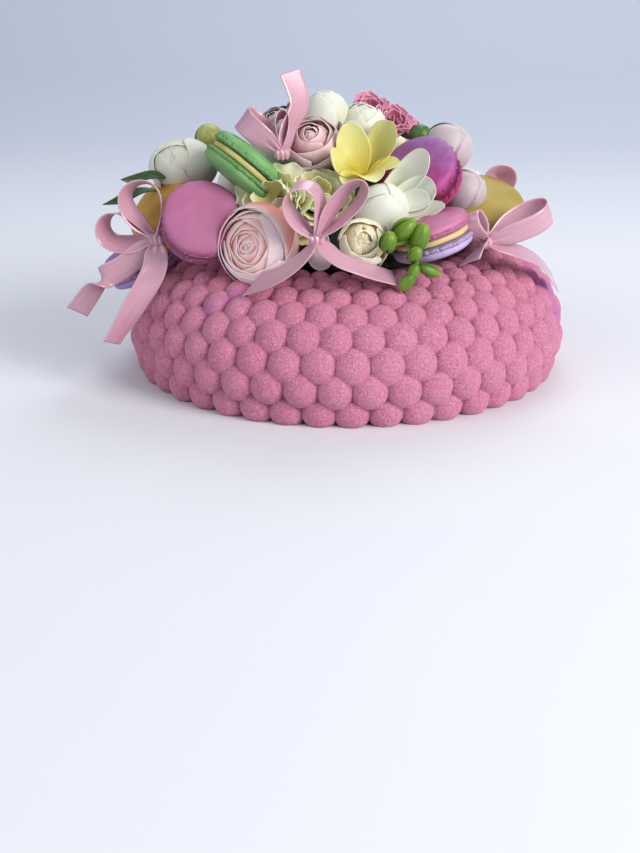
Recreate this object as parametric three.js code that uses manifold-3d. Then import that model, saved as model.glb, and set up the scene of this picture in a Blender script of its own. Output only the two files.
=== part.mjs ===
// A mousse cake moulded as a ring of half balls, dressed with a posy of flowers, macarons and satin bows.
// Millimetres, +Z up. The origin is on the cake's axis at its flat base, and the front looks towards -Y.
import * as THREE from 'three';
import { mergeVertices } from 'three/addons/utils/BufferGeometryUtils.js';
import Module from 'manifold-3d';

const wasm = await Module();
wasm.setup();

// The cake: rows of half balls laid on an elliptical shoulder.
const ballsPerRow = 42;
const ballRows = 8;
const shoulder = { centreRadius: 65, centreHeight: 21.5, across: 45.5, rise: 40.5 };
const firstRowAngle = -21;
const rowStepAngle = 17.6;
const rowStepShrink = 0.95;
const firstBallAngle = -2.8;
const ballFill = 0.551;
const ringShare = 0.6;
const footBulge = 0.45;
const dish = { radius: 54, height: 60 };

// A macaron: two shells with a ruffled foot, and the cream between them.
const macaron = {
  radius: 20.5, footFlare: 0.4, footHeight: 2.4, brow: 1.6, browHeight: 5.6,
  crownRadius: 12.7, crownHeight: 7.8, shellHeight: 8.2, creamRadius: 19.4, cream: 3.4,
};
const macaronSides = 12;

// The mound of stems and leaves that carries the flowers, with rows of leaves on its back.
const mound = { radius: 62, bottom: 62.5, top: 112, fullest: 82, around: 14, swell: 0.03 };
const moundLeaf = { long: 44, wide: 17, bend: -0.16, inside: 14 };
const moundLeafRows = [
  { count: 7, from: 100, to: 262, radius: 54, height: 80, lifted: 18 },
  { count: 6, from: 88, to: 268, radius: 40, height: 98, lifted: 48 },
  { count: 3, from: 110, to: 250, radius: 16, height: 108, lifted: 76 },
];

// Satin ribbon.
const ribbonWidth = 12.5;
const ribbonThickness = 0.8;
const knotSize = { across: 8, deep: 6, tall: 7 };
const loopSteps = 8;
const tailSteps = 6;
const loopOpening = 0.02;

// Stalks of the spray, and leaves.
const sprayStalk = 1.1;
const leafThickness = 1;
const leafSteps = 3;

// Clearances between neighbours, and how close two corners are before they are one.
const gap = 0.35;
const bloomGap = 0.5;
const mergeDistance = 1e-4;
const smallestStep = 0.2;
const roomSides = 48;

// The forms of the flowers. A profile runs from the face to the back, as [radius, height] in shares of the
// flower's radius. wave gives how far the radius and the height swell at an angle and a profile place.

// a full round bloom of many petals, with a hollow between its heart and its rim
const cupped = {
  around: 12,
  profile: [[0, 0.5], [0.34, 0.48], [0.58, 0.4], [0.84, 0.48], [1, 0.1], [0.82, -0.45], [0, -1.1]],
  wave: (angle, place) => [0.035 * Math.cos(5 * angle + place), 0],
};

// a closed bud, egg-shaped
const closed = {
  around: 10,
  profile: [[0, 1.05], [0.5, 0.8], [0.92, 0.3], [0.95, -0.25], [0.5, -0.8], [0, -1.4]],
  wave: (angle) => [0.03 * Math.cos(3 * angle), 0],
};

// a small plain bud with few sides
const small = {
  around: 7,
  profile: [[0, 1], [0.72, 0.68], [1, 0], [0.68, -0.7], [0, -1]],
  wave: () => [0, 0],
};

// an open bloom with a wavy rim round a hollow throat
const ruffleDepth = [0.4, 1, 0.9, 0];
const ruffled = {
  around: 18,
  profile: [[0, -0.05], [0.4, 0.14], [0.84, 0.34], [1, 0.08], [0.6, -0.35], [0, -0.8]],
  wave: (angle, place) => [
    0.08 * ruffleDepth[place] * Math.sin(3 * angle + 1),
    0.11 * ruffleDepth[place] * Math.cos(6 * angle),
  ],
};

// a funnel whose six petals stand apart at the rim, with three points round each petal
const petalNotch = [0.1, 0.34, 0.34, 0];
const petalFall = [0, 0.28, 0.24, 0];
const funnel = {
  around: 18,
  profile: [[0, -0.3], [0.5, 0.12], [0.86, 0.52], [0.94, 0.36], [0.5, -0.4], [0, -1.2]],
  wave: (angle, place) => {
    const between = Math.max(Math.cos(6 * angle), 0);
    return [0.06 - petalNotch[place] * between, -petalFall[place] * between];
  },
};

// a frilled dome
const frillDepth = [0.4, 1, 1, 0];
const frilled = {
  around: 16,
  profile: [[0, 0.62], [0.42, 0.6], [0.8, 0.38], [1, 0.02], [0.6, -0.5], [0, -1]],
  wave: (angle, place) => [
    0.08 * frillDepth[place] * Math.cos(8 * angle + place),
    0.08 * frillDepth[place] * Math.sin(8 * angle + place),
  ],
};

const skin = {
  cake: 0xd9849f,
  pinkPetal: 0xe6c3c8,
  palePink: 0xe3c0cd,
  cream: 0xdcdcb8,
  white: 0xdfe0cf,
  ruffled: 0xd3d29a,
  yellow: 0xdcdc78,
  carnation: 0xb4647f,
  bud: 0x6fa32c,
  stems: 0x3c4a26,
  leaf: 0x2a4a22,
  ribbon: 0xdba9ba,
};

// Where each macaron sits and which way its top shell faces: turned from -Y towards +X, lifted above level.
const macarons = [
  {
    name: 'macaron_mauve', at: [-74, -52, 89], turned: 12, lifted: 38,
    top: 0xc97bad, base: 0xc675a6, cream: 0xe0c6cf,
  },
  {
    name: 'macaron_green', at: [-53, -38, 115], turned: 112, lifted: 48,
    top: 0x5fae5a, base: 0x5aa756, cream: 0xd8cf75,
  },
  {
    name: 'macaron_ochre', at: [-96, -18, 87], turned: -62, lifted: 40,
    top: 0xb98f33, base: 0xb98f33, cream: 0xd9c583,
  },
  {
    name: 'macaron_plum', at: [38, -36, 110], turned: -35, lifted: 45,
    top: 0x9a5a9e, base: 0xb4366c, cream: 0x8c2f57,
  },
  {
    name: 'macaron_rose', at: [42, -62, 85], turned: -90, lifted: 73,
    top: 0xdb8fbc, base: 0xc6a0cf, cream: 0xe5cd8d,
  },
  {
    name: 'macaron_yellow', at: [73, -18, 89], turned: 25, lifted: 62,
    top: 0xd5bf5c, base: 0xd5bf5c, cream: 0xe6d9a6,
  },
  {
    name: 'macaron_lilac', at: [-110, -14, 60], turned: -90, lifted: 64,
    top: 0xa874b4, base: 0xbb9ad0, cream: 0xc9a7c9,
  },
  {
    name: 'macaron_coral', at: [34, 70, 88], turned: 160, lifted: 40,
    top: 0xd98a86, base: 0xd98a86, cream: 0xe8d3b6,
  },
];

// Each bow's knot, and its loops and loose ends measured from the knot. A loop goes out to its tip and back,
// half as deep as stated to each side. An end's width turns from the first direction across to the last.
const bows = [
  {
    name: 'bow_front', at: [-15, -89, 89],
    loops: [
      { tip: [-9, -4, 27], side: [-1, 0, 0], half: 8, twist: [-35, 35] },
      { tip: [22, -3, 28], side: [1, 0, -1], half: 3.8, twist: [30, 60] },
    ],
    tails: [
      {
        through: [[0, 0, 0], [-8, -5, -9], [-20, -2, -18], [-32, 6, -24]],
        across: [[0.3, 1, 0.5], [-0.25, 0.9, 0.4]],
      },
      {
        through: [[0, 0, 0], [10, -5, -8], [20, -4, -12.5], [39, 6, -21]],
        across: [[-0.3, 1, 0.8], [0.1, 1, 0.2]],
      },
    ],
  },
  {
    name: 'bow_right', at: [70, -56, 80],
    loops: [
      { tip: [33, 10, 15], side: [-0.2, 1, 0.3], half: 7, twist: [0, 0] },
      { tip: [-10, -8, 15], side: [0.3, 1, 0.3], half: 5, twist: [0, 0] },
    ],
    tails: [
      {
        through: [[0, 0, 0], [14, 2, -4], [29, 16, -13], [42, 34, -30]],
        across: [[0, 1, 0.3], [0, 1, 0.2]],
      },
      { through: [[0, 0, 0], [-5, -8, -3], [-9, -18, -6]], across: [[1, 0, 1], [1, 0.2, 0.6]] },
    ],
  },
  {
    name: 'bow_top', at: [-33, -48, 123.5],
    loops: [
      { tip: [-20, 4, 18], side: [0.3, 1, -0.2], half: 7, twist: [0, 15] },
      { tip: [0, 11, 18], side: [1, 0, 0], half: 3.5, twist: [0, 0] },
    ],
    tails: [
      {
        through: [[0, 0, 0], [3, 7, 11], [8.5, 12, 23], [4, 14, 39]],
        across: [[0.4, 0.9, 0.1], [0.85, 0.5, 0]],
      },
    ],
  },
  {
    name: 'bow_behind', at: [81, 3, 93],
    loops: [{ tip: [1, -2, 13], side: [1, 0.2, 0], half: 4.5, twist: [50, 50] }],
    tails: [],
  },
  {
    name: 'bow_left', at: [-98, -48, 79],
    loops: [
      { tip: [-9, 2, 29], side: [1, 0, 0], half: 9, twist: [0, 40] },
      { tip: [-28, 5, 7], side: [0, 0, 1], half: 8, twist: [0, 40] },
    ],
    tails: [
      {
        through: [[0, 0, 0], [-1, -8, -14], [-12, -12, -33], [-24, -12, -52]],
        across: [[1, 0, 0.2], [0.85, 0.55, 0.35]],
      },
      {
        through: [[0, 0, 0], [-17, -1, -14], [-29, -1, -21], [-44, 4, -40]],
        across: [[0, 0, 1], [0.9, 0, 0.4]],
      },
    ],
  },
];

// Each flower's form, its radius, the middle of its face and the way it faces.
const blooms = [
  {
    name: 'bloom_pink_front', form: cupped, radius: 21.5,
    at: [-45, -68, 81], turned: -25, lifted: 12, colour: skin.pinkPetal,
  },
  {
    name: 'bloom_cream_small', form: cupped, radius: 14,
    at: [8, -76, 85], turned: 0, lifted: 20, colour: skin.cream,
  },
  {
    name: 'freesia_yellow', form: funnel, radius: 21,
    at: [9, -41, 116], turned: 5, lifted: 50, colour: skin.yellow,
  },
  {
    name: 'freesia_white_open', form: funnel, radius: 21,
    at: [22, -60, 98], turned: 35, lifted: 40, colour: skin.white,
  },
  {
    name: 'bloom_ruffled', form: ruffled, radius: 25,
    at: [-25, -54, 99], turned: -8, lifted: 35, colour: skin.ruffled,
  },
  {
    name: 'bloom_pink_top', form: cupped, radius: 17.5,
    at: [-18, -32, 126], turned: -10, lifted: 50, colour: skin.pinkPetal,
  },
  {
    name: 'bloom_white_left', form: cupped, radius: 17, stretch: [1.2, 0.88, 1],
    at: [-87, -14, 111], turned: -45, lifted: 35, colour: skin.white,
  },
  {
    name: 'bud_green_left', form: closed, radius: 7.5,
    at: [-74, 2, 123], turned: -70, lifted: 60, colour: skin.bud,
  },
  {
    name: 'bud_pink_upper', form: closed, radius: 13.5,
    at: [53, -10, 120], turned: 70, lifted: 30, colour: skin.palePink,
  },
  {
    name: 'bud_pink_lower', form: closed, radius: 12,
    at: [61, -26, 100], turned: 50, lifted: 35, colour: skin.palePink,
  },
  {
    name: 'bud_green_right', form: closed, radius: 6,
    at: [39, -8, 126], turned: 40, lifted: 50, colour: skin.bud,
  },
  {
    name: 'freesia_white_top_left', form: closed, radius: 14,
    at: [-11, -12, 136], turned: -10, lifted: 80, colour: skin.white,
  },
  {
    name: 'freesia_white_top_right', form: closed, radius: 14,
    at: [8, -12, 130], turned: 20, lifted: 72, colour: skin.white,
  },
  {
    name: 'bloom_frilled', form: frilled, radius: 18,
    at: [24, 8, 131], turned: 60, lifted: 65, colour: skin.carnation,
  },
  {
    name: 'bloom_pink_behind', form: cupped, radius: 13,
    at: [-37, -5, 132], turned: -60, lifted: 55, colour: skin.pinkPetal,
  },
  {
    name: 'bloom_back_pink', form: cupped, radius: 21,
    at: [-14, 68, 86], turned: 190, lifted: 25, colour: skin.pinkPetal,
  },
  {
    name: 'bloom_back_white', form: cupped, radius: 18,
    at: [-60, 46, 90], turned: 235, lifted: 25, colour: skin.white,
  },
  {
    name: 'bloom_back_ruffled', form: ruffled, radius: 22,
    at: [8, 42, 110], turned: 175, lifted: 45, colour: skin.ruffled,
  },
  {
    name: 'freesia_back_white', form: funnel, radius: 19,
    at: [-36, 32, 112], turned: 215, lifted: 50, colour: skin.white,
  },
  {
    name: 'freesia_back_yellow', form: funnel, radius: 18,
    at: [46, 36, 108], turned: 130, lifted: 40, colour: skin.yellow,
  },
  {
    name: 'bud_back_green', form: closed, radius: 7,
    at: [-30, 12, 124], turned: 225, lifted: 60, colour: skin.bud,
  },
  {
    name: 'bloom_back_right', form: cupped, radius: 19,
    at: [70, 26, 86], turned: 112, lifted: 22, colour: skin.pinkPetal,
  },
];

// A spray of small buds on two stalks, measured from its middle.
const spray = {
  name: 'spray_of_buds', at: [30, -84, 84],
  buds: [
    { ends: [[-11, -4, -1], [-9, -5, 9]], radius: 4.2 },
    { ends: [[-7, 0, 5], [3, 2, 12]], radius: 5 },
    { ends: [[4, 1, -1], [8, 0, 11]], radius: 4.8 },
    { ends: [[1, -3, -6], [5, -4, 1]], radius: 3.4 },
    { ends: [[4, -3, -7], [2, -5, -13]], radius: 2.8 },
    { ends: [[3, -5, -12], [-3, -6, -19]], radius: 3 },
    { ends: [[5, -2, -10], [15, 1, -13]], radius: 2.8 },
  ],
  stalks: [
    [[-10, 8, 0], [0, 1, 1], [4, -2, -5], [2, -5, -14]],
    [[-10, -4, 1], [-3, 2, 2], [6, 1, 3]],
  ],
};

// Leaves, from their stalks: turned and lifted is the way their upper face looks.
const leaves = [
  {
    name: 'leaf_left_upper', long: 24, wide: 9, bend: -0.1,
    at: [-95, -24, 106], turned: 0, lifted: 65, rolled: 85,
  },
  {
    name: 'leaf_left_lower', long: 28, wide: 8, bend: -0.15,
    at: [-99, -34, 101], turned: 10, lifted: 70, rolled: 98,
  },
];

const loosePetal = { name: 'petal_loose', ends: [[-12, -77, 86], [-14, -84, 74]], radius: 6.5 };

const turn = THREE.MathUtils.degToRad;

function vector([x, y, z]) {
  return new THREE.Vector3(x, y, z);
}

// The direction that a flower or shell faces: turned from -Y towards +X, and lifted above the horizontal.
function facing(turned, lifted) {
  const level = Math.cos(turn(lifted));
  const x = Math.sin(turn(turned)) * level;
  const y = -Math.cos(turn(turned)) * level;
  return new THREE.Vector3(x, y, Math.sin(turn(lifted)));
}

// The placement whose local +Z faces that way, with local +X level before the roll.
function placement({ at, turned = 0, lifted = 0, rolled = 0 }) {
  const forward = facing(turned, lifted);
  const level = new THREE.Vector3(Math.cos(turn(turned)), Math.sin(turn(turned)), 0);
  const upward = new THREE.Vector3().crossVectors(forward, level);
  const basis = new THREE.Matrix4().makeBasis(level, upward, forward);
  basis.multiply(new THREE.Matrix4().makeRotationZ(turn(rolled)));
  return basis.setPosition(...at);
}

function meshFrom(points, faces) {
  const geometry = new THREE.BufferGeometry();
  geometry.setAttribute('position', new THREE.Float32BufferAttribute(points.flat(), 3));
  geometry.setIndex(faces.flat());
  return geometry;
}

// A closed mesh as a solid that can be joined and cut.
function solidOf(geometry) {
  const bare = geometry.clone();
  bare.deleteAttribute('normal');
  bare.deleteAttribute('uv');
  const merged = mergeVertices(bare, mergeDistance);
  const mesh = new wasm.Mesh({
    numProp: 3,
    vertProperties: new Float32Array(merged.attributes.position.array),
    triVerts: new Uint32Array(merged.index.array),
  });
  return new wasm.Manifold(mesh);
}

function geometryOf(solid) {
  const mesh = solid.getMesh();
  const geometry = new THREE.BufferGeometry();
  geometry.setAttribute('position', new THREE.BufferAttribute(mesh.vertProperties, 3));
  geometry.setIndex(new THREE.BufferAttribute(mesh.triVerts, 1));
  geometry.computeVertexNormals();
  return geometry;
}

function moved(solid, matrix) {
  return solid.transform([...matrix.elements]);
}

// A closed body of rings between a front pole and a back pole, each ring with the same number of points.
function ringedBody(frontPole, rings, backPole) {
  const around = rings[0].length;
  const points = [frontPole, ...rings.flat(), backPole];
  const last = points.length - 1;
  const faces = [];
  for (let side = 0; side < around; side += 1) {
    const next = (side + 1) % around;
    faces.push([0, 1 + side, 1 + next]);
    for (let ring = 0; ring < rings.length - 1; ring += 1) {
      const here = 1 + ring * around;
      const below = here + around;
      faces.push([here + side, below + side, below + next]);
      faces.push([here + side, below + next, here + next]);
    }
    faces.push([last, last - around + next, last - around + side]);
  }
  return meshFrom(points, faces);
}

// A flower's closed body. The growth lifts the face inside the rim, and moves everything else outwards.
function flowerBody({ profile, around, wave }, radius, grow = 0) {
  const spots = profile.slice(1, -1);
  const highest = Math.max(...spots.map(([, height]) => height));
  const rim = spots.findLastIndex(([, height]) => height === highest);
  const rings = spots.map(([share, height], place) => {
    const wider = place < rim ? 0 : grow;
    const higher = place <= rim ? grow : 0;
    const lower = place === spots.length - 1 ? grow : 0;
    const ring = [];
    for (let side = 0; side < around; side += 1) {
      const angle = (2 * Math.PI * side) / around;
      const [swell, lift] = wave(angle, place);
      const reach = radius * share * (1 + swell) + wider;
      const level = radius * (height + lift) + higher - lower;
      ring.push([reach * Math.cos(angle), reach * Math.sin(angle), level]);
    }
    return ring;
  });
  const front = [0, 0, radius * profile[0][1] + grow];
  const back = [0, 0, radius * profile[profile.length - 1][1] - 2 * grow];
  return ringedBody(front, rings, back);
}

// The mound of stems without its leaves: a low dome, cut flat where it sits in the cake's dish.
function moundSolid(grow = 0) {
  const { radius, bottom, top, fullest, around, swell } = mound;
  const rise = top - fullest;
  const profile = [
    [0, top],
    [0.5 * radius, fullest + 0.86 * rise],
    [0.86 * radius, fullest + 0.5 * rise],
    [radius, fullest],
    [0.8 * radius, bottom + grow],
    [0, bottom + 2 * grow],
  ];
  const wave = (angle, place) => [swell * Math.cos(5 * angle + place), 0];
  return solidOf(flowerBody({ profile, around, wave }, 1, grow));
}

// A thin wavy leaf from its stalk at the origin along +Y, both faces split into triangles alike.
function leafBody(long, wide, thick, bend) {
  const faceOf = (side) => {
    const rows = [];
    for (let step = 0; step <= leafSteps; step += 1) {
      const along = step / leafSteps;
      const half = (wide / 2) * Math.sin(Math.PI * (0.08 + 0.9 * along)) ** 0.8;
      const rise = bend * along * along * long + 0.05 * long * Math.sin(2 * Math.PI * along);
      for (const across of [-1, 0, 1]) {
        const fold = Math.abs(across) * half * 0.25;
        rows.push([across * half, along * long, rise + fold + (side * thick) / 2]);
      }
    }
    return rows;
  };
  const points = [...faceOf(1), ...faceOf(-1)];
  const under = 3 * (leafSteps + 1);
  const faces = [];
  for (let step = 0; step < leafSteps; step += 1) {
    for (let column = 0; column < 2; column += 1) {
      const a = 3 * step + column;
      faces.push([a, a + 1, a + 4], [a, a + 4, a + 3]);
      faces.push([under + a, under + a + 4, under + a + 1], [under + a, under + a + 3, under + a + 4]);
    }
    const left = 3 * step;
    const right = left + 2;
    faces.push([left, left + 3, under + left + 3], [left, under + left + 3, under + left]);
    faces.push([right, under + right, under + right + 3], [right, under + right + 3, right + 3]);
  }
  const tip = 3 * leafSteps;
  for (let column = 0; column < 2; column += 1) {
    faces.push([column, under + column, under + column + 1], [column, under + column + 1, column + 1]);
    const a = tip + column;
    faces.push([a, a + 1, under + a + 1], [a, under + a + 1, under + a]);
  }
  return meshFrom(points, faces);
}

// The leaves on the mound, in rows, each from inside the mound outwards and over.
function moundLeaves() {
  const { long, wide, bend, inside } = moundLeaf;
  return moundLeafRows.flatMap(({ count, from, to, radius, height, lifted }) => {
    const row = [];
    for (let place = 0; place < count; place += 1) {
      const turned = from + ((to - from) * place) / (count - 1);
      const outward = facing(turned, lifted);
      const root = vector([radius * Math.sin(turn(turned)), -radius * Math.cos(turn(turned)), height]);
      root.addScaledVector(outward, -inside);
      const stand = placement({ at: root.toArray(), turned: turned + 180, lifted: 90 - lifted });
      row.push(moved(solidOf(leafBody(long, wide, leafThickness, bend)), stand));
    }
    return row;
  });
}

// A flat band carried along a path, its width lying along the given direction at each point.
function band(path, widths, width, thickness) {
  const points = [];
  path.forEach((point, step) => {
    const before = path[Math.max(step - 1, 0)];
    const after = path[Math.min(step + 1, path.length - 1)];
    const along = after.clone().sub(before).normalize();
    const across = widths[step].clone().addScaledVector(along, -widths[step].dot(along)).normalize();
    const out = new THREE.Vector3().crossVectors(along, across);
    for (const [side, face] of [[-1, -1], [1, -1], [1, 1], [-1, 1]]) {
      const corner = point.clone();
      corner.addScaledVector(across, (side * width) / 2);
      corner.addScaledVector(out, (face * thickness) / 2);
      points.push(corner.toArray());
    }
  });
  const faces = [[0, 2, 1], [0, 3, 2]];
  for (let step = 0; step < path.length - 1; step += 1) {
    for (let side = 0; side < 4; side += 1) {
      const a = 4 * step + side;
      const b = 4 * step + ((side + 1) % 4);
      faces.push([a, b, b + 4], [a, b + 4, a + 4]);
    }
  }
  const end = 4 * (path.length - 1);
  faces.push([end, end + 1, end + 2], [end, end + 2, end + 3]);
  return meshFrom(points, faces);
}

// One loop of a bow: half of a figure of eight from the knot out to its tip and back.
function bowLoop({ tip, side, half, twist }, width, thickness) {
  const reach = vector(tip);
  const outward = reach.clone().normalize();
  const sideways = vector(side);
  sideways.addScaledVector(outward, -sideways.dot(outward)).normalize();
  const normal = new THREE.Vector3().crossVectors(outward, sideways);
  const path = [];
  const widths = [];
  for (let step = 0; step <= loopSteps; step += 1) {
    const share = loopOpening + (1 - 2 * loopOpening) * (step / loopSteps);
    const point = reach.clone().multiplyScalar(Math.sin(Math.PI * share));
    point.addScaledVector(sideways, half * Math.sin(2 * Math.PI * share));
    path.push(point);
    const along = reach.clone().multiplyScalar(Math.PI * Math.cos(Math.PI * share));
    along.addScaledVector(sideways, 2 * Math.PI * half * Math.cos(2 * Math.PI * share)).normalize();
    const lean = turn(twist[0] + (twist[1] - twist[0]) * (step / loopSteps));
    widths.push(normal.clone().applyAxisAngle(along, lean));
  }
  return band(path, widths, width, thickness);
}

// One loose end of a bow, through the given points, its width turning from the first direction to the last.
function bowTail({ through, across }, width, thickness) {
  const curve = new THREE.CatmullRomCurve3(through.map(vector));
  const path = curve.getPoints(tailSteps);
  const widths = path.map((point, step) => vector(across[0]).lerp(vector(across[1]), step / tailSteps));
  return band(path, widths, width, thickness);
}

// An egg-shaped bud of the spray between two points, its widest place a little past the middle.
function eggBody([from, to], radius, grow) {
  const axis = vector(to).sub(vector(from));
  const egg = flowerBody(small, 1).scale(radius + grow, radius + grow, axis.length() / 2 + grow);
  const upright = new THREE.Vector3(0, 0, 1);
  egg.applyQuaternion(new THREE.Quaternion().setFromUnitVectors(upright, axis.normalize()));
  const middle = vector(from).add(vector(to)).multiplyScalar(0.5);
  return egg.translate(...middle.toArray());
}

// A round stalk through the given points.
function stalkBody(through, radius) {
  const outline = new THREE.Shape().absarc(0, 0, radius, 0, 2 * Math.PI);
  const extrudePath = new THREE.CatmullRomCurve3(through.map(vector));
  return new THREE.ExtrudeGeometry(outline, { curveSegments: 3, steps: through.length, extrudePath });
}

// A spray of buds on its stalks, with the larger buds at the top.
function spraySolid({ buds, stalks }, grow = 0) {
  const pieces = [
    ...buds.map(({ ends, radius }) => eggBody(ends, radius, grow)),
    ...stalks.map((through) => stalkBody(through, sprayStalk + grow)),
  ];
  return wasm.Manifold.union(pieces.map(solidOf));
}

function knotBody(grow) {
  const knot = new THREE.SphereGeometry(1, 6, 4);
  knot.scale(knotSize.across / 2 + grow, knotSize.deep / 2 + grow, knotSize.tall / 2 + grow);
  return knot;
}

// A bow round its knot at the origin, every face moved out by the growth.
function bowSolid({ loops, tails }, grow = 0) {
  const width = ribbonWidth + 2 * grow;
  const thickness = ribbonThickness + 2 * grow;
  const pieces = [
    knotBody(grow),
    ...loops.map((loop) => bowLoop(loop, width, thickness)),
    ...tails.map((tail) => bowTail(tail, width, thickness)),
  ];
  return wasm.Manifold.union(pieces.map(solidOf));
}

// The cake's shoulder at a row, counted from the lowest: its radius, its height and which way is outwards.
function shoulderAt(row) {
  const angle = turn(firstRowAngle + (rowStepAngle * (1 - rowStepShrink ** row)) / (1 - rowStepShrink));
  const out = new THREE.Vector2(Math.cos(angle) / shoulder.across, Math.sin(angle) / shoulder.rise);
  return {
    radius: shoulder.centreRadius + shoulder.across * Math.cos(angle),
    height: shoulder.centreHeight + shoulder.rise * Math.sin(angle),
    out: out.normalize(),
  };
}

function pitchAt(row) {
  return (2 * Math.PI * shoulderAt(row).radius) / ballsPerRow;
}

// A point over the shoulder: half is counted in half balls round the cake, and up is measured outwards.
function overShoulder(row, half, up) {
  const { radius, height, out } = shoulderAt(row);
  const angle = turn(firstBallAngle + (half * 180) / ballsPerRow);
  const reach = radius + up * out.x;
  const level = Math.max(height + up * out.y, 0);
  return new THREE.Vector3(reach * Math.sin(angle), -reach * Math.cos(angle), level);
}

// Where the valleys between two rows meet, as a share of the step between the rows.
function valleyShare(lower) {
  const { radius: wide, height: low } = shoulderAt(lower);
  const { radius: narrow, height: high } = shoulderAt(lower + 1);
  const rowStep = Math.hypot(wide - narrow, high - low);
  const halfPitch = pitchAt(lower + 0.5) / 2;
  return (rowStep ** 2 - halfPitch ** 2) / (2 * rowStep ** 2);
}

// The row at which the shoulder meets the level of the base.
function floorRow() {
  const angle = -THREE.MathUtils.radToDeg(Math.asin(shoulder.centreHeight / shoulder.rise));
  const shrunk = 1 - ((angle - firstRowAngle) * (1 - rowStepShrink)) / rowStepAngle;
  return Math.log(shrunk) / Math.log(rowStepShrink);
}

function carriesBall(row, half) {
  return (half + row) % 2 !== 0;
}

// The cake: each ball is a cap of triangles over a six-sided cell, and neighbouring cells share valleys.
function cakeBody() {
  const halves = 2 * ballsPerRow;
  const points = [];
  const faces = [];
  const add = (point) => points.push(point.toArray()) - 1;

  // valleys[gapIndex][half] is the corner below row gapIndex at that half ball
  const floor = floorRow();
  const valleys = [];
  for (let level = 0; level <= ballRows; level += 1) {
    const share = valleyShare(level - 1);
    const ring = [];
    for (let half = 0; half < halves; half += 1) {
      const under = carriesBall(level, half);
      const row = level === 0 ? floor : level - (under ? 1 - share : share);
      const bulge = level === 0 && under ? footBulge * ballFill * pitchAt(0) : 0;
      ring.push(add(overShoulder(row, half, bulge)));
    }
    valleys.push(ring);
  }

  for (let row = 0; row < ballRows; row += 1) {
    const size = ballFill * pitchAt(row);
    const above = valleyShare(row);
    const below = valleyShare(row - 1);
    for (let half = 0; half < halves; half += 1) {
      if (carriesBall(row, half)) {
        const right = (half + 1) % halves;
        const left = (half + halves - 1) % halves;
        const corners = [
          { vertex: valleys[row + 1][right], rows: above, halves: 1 },
          { vertex: valleys[row + 1][half], rows: 1 - above, halves: 0 },
          { vertex: valleys[row + 1][left], rows: above, halves: -1 },
          { vertex: valleys[row][left], rows: -below, halves: -1 },
          { vertex: valleys[row][half], rows: below - 1, halves: 0 },
          { vertex: valleys[row][right], rows: -below, halves: 1 },
        ];
        const middle = overShoulder(row, half, 0);
        const top = add(overShoulder(row, half, size));
        const ring = corners.map((corner) => {
          const place = [row + ringShare * corner.rows, half + ringShare * corner.halves];
          const away = overShoulder(...place, 0).distanceTo(middle);
          return add(overShoulder(...place, Math.sqrt(Math.max(size ** 2 - away ** 2, 0))));
        });
        for (let side = 0; side < 6; side += 1) {
          const next = (side + 1) % 6;
          faces.push([top, ring[side], ring[next]]);
          faces.push([ring[side], corners[side].vertex, corners[next].vertex]);
          faces.push([ring[side], corners[next].vertex, ring[next]]);
        }
      }
    }
  }

  // the shallow dish on top, and the flat base
  const rim = valleys[ballRows];
  const dishRing = [];
  for (let ball = 0; ball < ballsPerRow; ball += 1) {
    const edge = facing(firstBallAngle + ((2 * ball + 1) * 180) / ballsPerRow, 0);
    dishRing.push(add(edge.multiplyScalar(dish.radius).setZ(dish.height)));
  }
  const dishMiddle = add(new THREE.Vector3(0, 0, dish.height));
  const baseMiddle = add(new THREE.Vector3(0, 0, 0));
  for (let ball = 0; ball < ballsPerRow; ball += 1) {
    const next = (ball + 1) % ballsPerRow;
    const [a, b, c] = [2 * ball, 2 * ball + 1, (2 * ball + 2) % halves].map((half) => rim[half]);
    faces.push([a, b, dishRing[ball]], [b, c, dishRing[next]], [b, dishRing[next], dishRing[ball]]);
    faces.push([dishRing[ball], dishRing[next], dishMiddle]);
  }
  for (let half = 0; half < halves; half += 1) {
    faces.push([valleys[0][(half + 1) % halves], valleys[0][half], baseMiddle]);
  }
  return meshFrom(points, faces);
}

// The space that the cake takes up to the tops of its balls, as a plain turned body.
function cakeRoom() {
  const around = 1 / Math.cos(Math.PI / roomSides);
  const lowest = dish.height + gap;
  const profile = [new THREE.Vector2(0, lowest), new THREE.Vector2(dish.radius, lowest)];
  for (let row = ballRows - 0.4; row > -1; row -= 0.7) {
    const { radius, height, out } = shoulderAt(row);
    const up = ballFill * pitchAt(row) + gap;
    profile.push(new THREE.Vector2((radius + up * out.x) * around, height + up * out.y));
  }
  profile.push(new THREE.Vector2(0, profile[profile.length - 1].y));
  profile.reverse();
  const room = new THREE.LatheGeometry(profile, roomSides);
  room.rotateX(Math.PI / 2);
  return solidOf(room);
}

// A turned body about +Z from a profile of [radius, height] that starts and ends on the axis, rising.
function turnedBody(profile, sides) {
  const outline = profile.map(([radius, height]) => new THREE.Vector2(radius, height));
  const body = new THREE.LatheGeometry(outline, sides);
  body.rotateX(Math.PI / 2);
  return body;
}

// One shell of a macaron above its cream, facing +Z.
function shellBody() {
  const { radius, footFlare, footHeight, brow, browHeight, crownRadius, crownHeight, shellHeight } = macaron;
  const foot = macaron.cream / 2 + gap;
  const profile = [
    [0, foot],
    [radius + footFlare, foot],
    [radius + footFlare, foot + footHeight],
    [radius - brow, foot + browHeight],
    [crownRadius, foot + crownHeight],
    [0, foot + shellHeight],
  ];
  return turnedBody(profile, macaronSides);
}

function creamBody() {
  const { creamRadius, cream } = macaron;
  const half = cream / 2;
  return turnedBody([[0, -half], [creamRadius, -half], [creamRadius, half], [0, half]], macaronSides);
}

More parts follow.
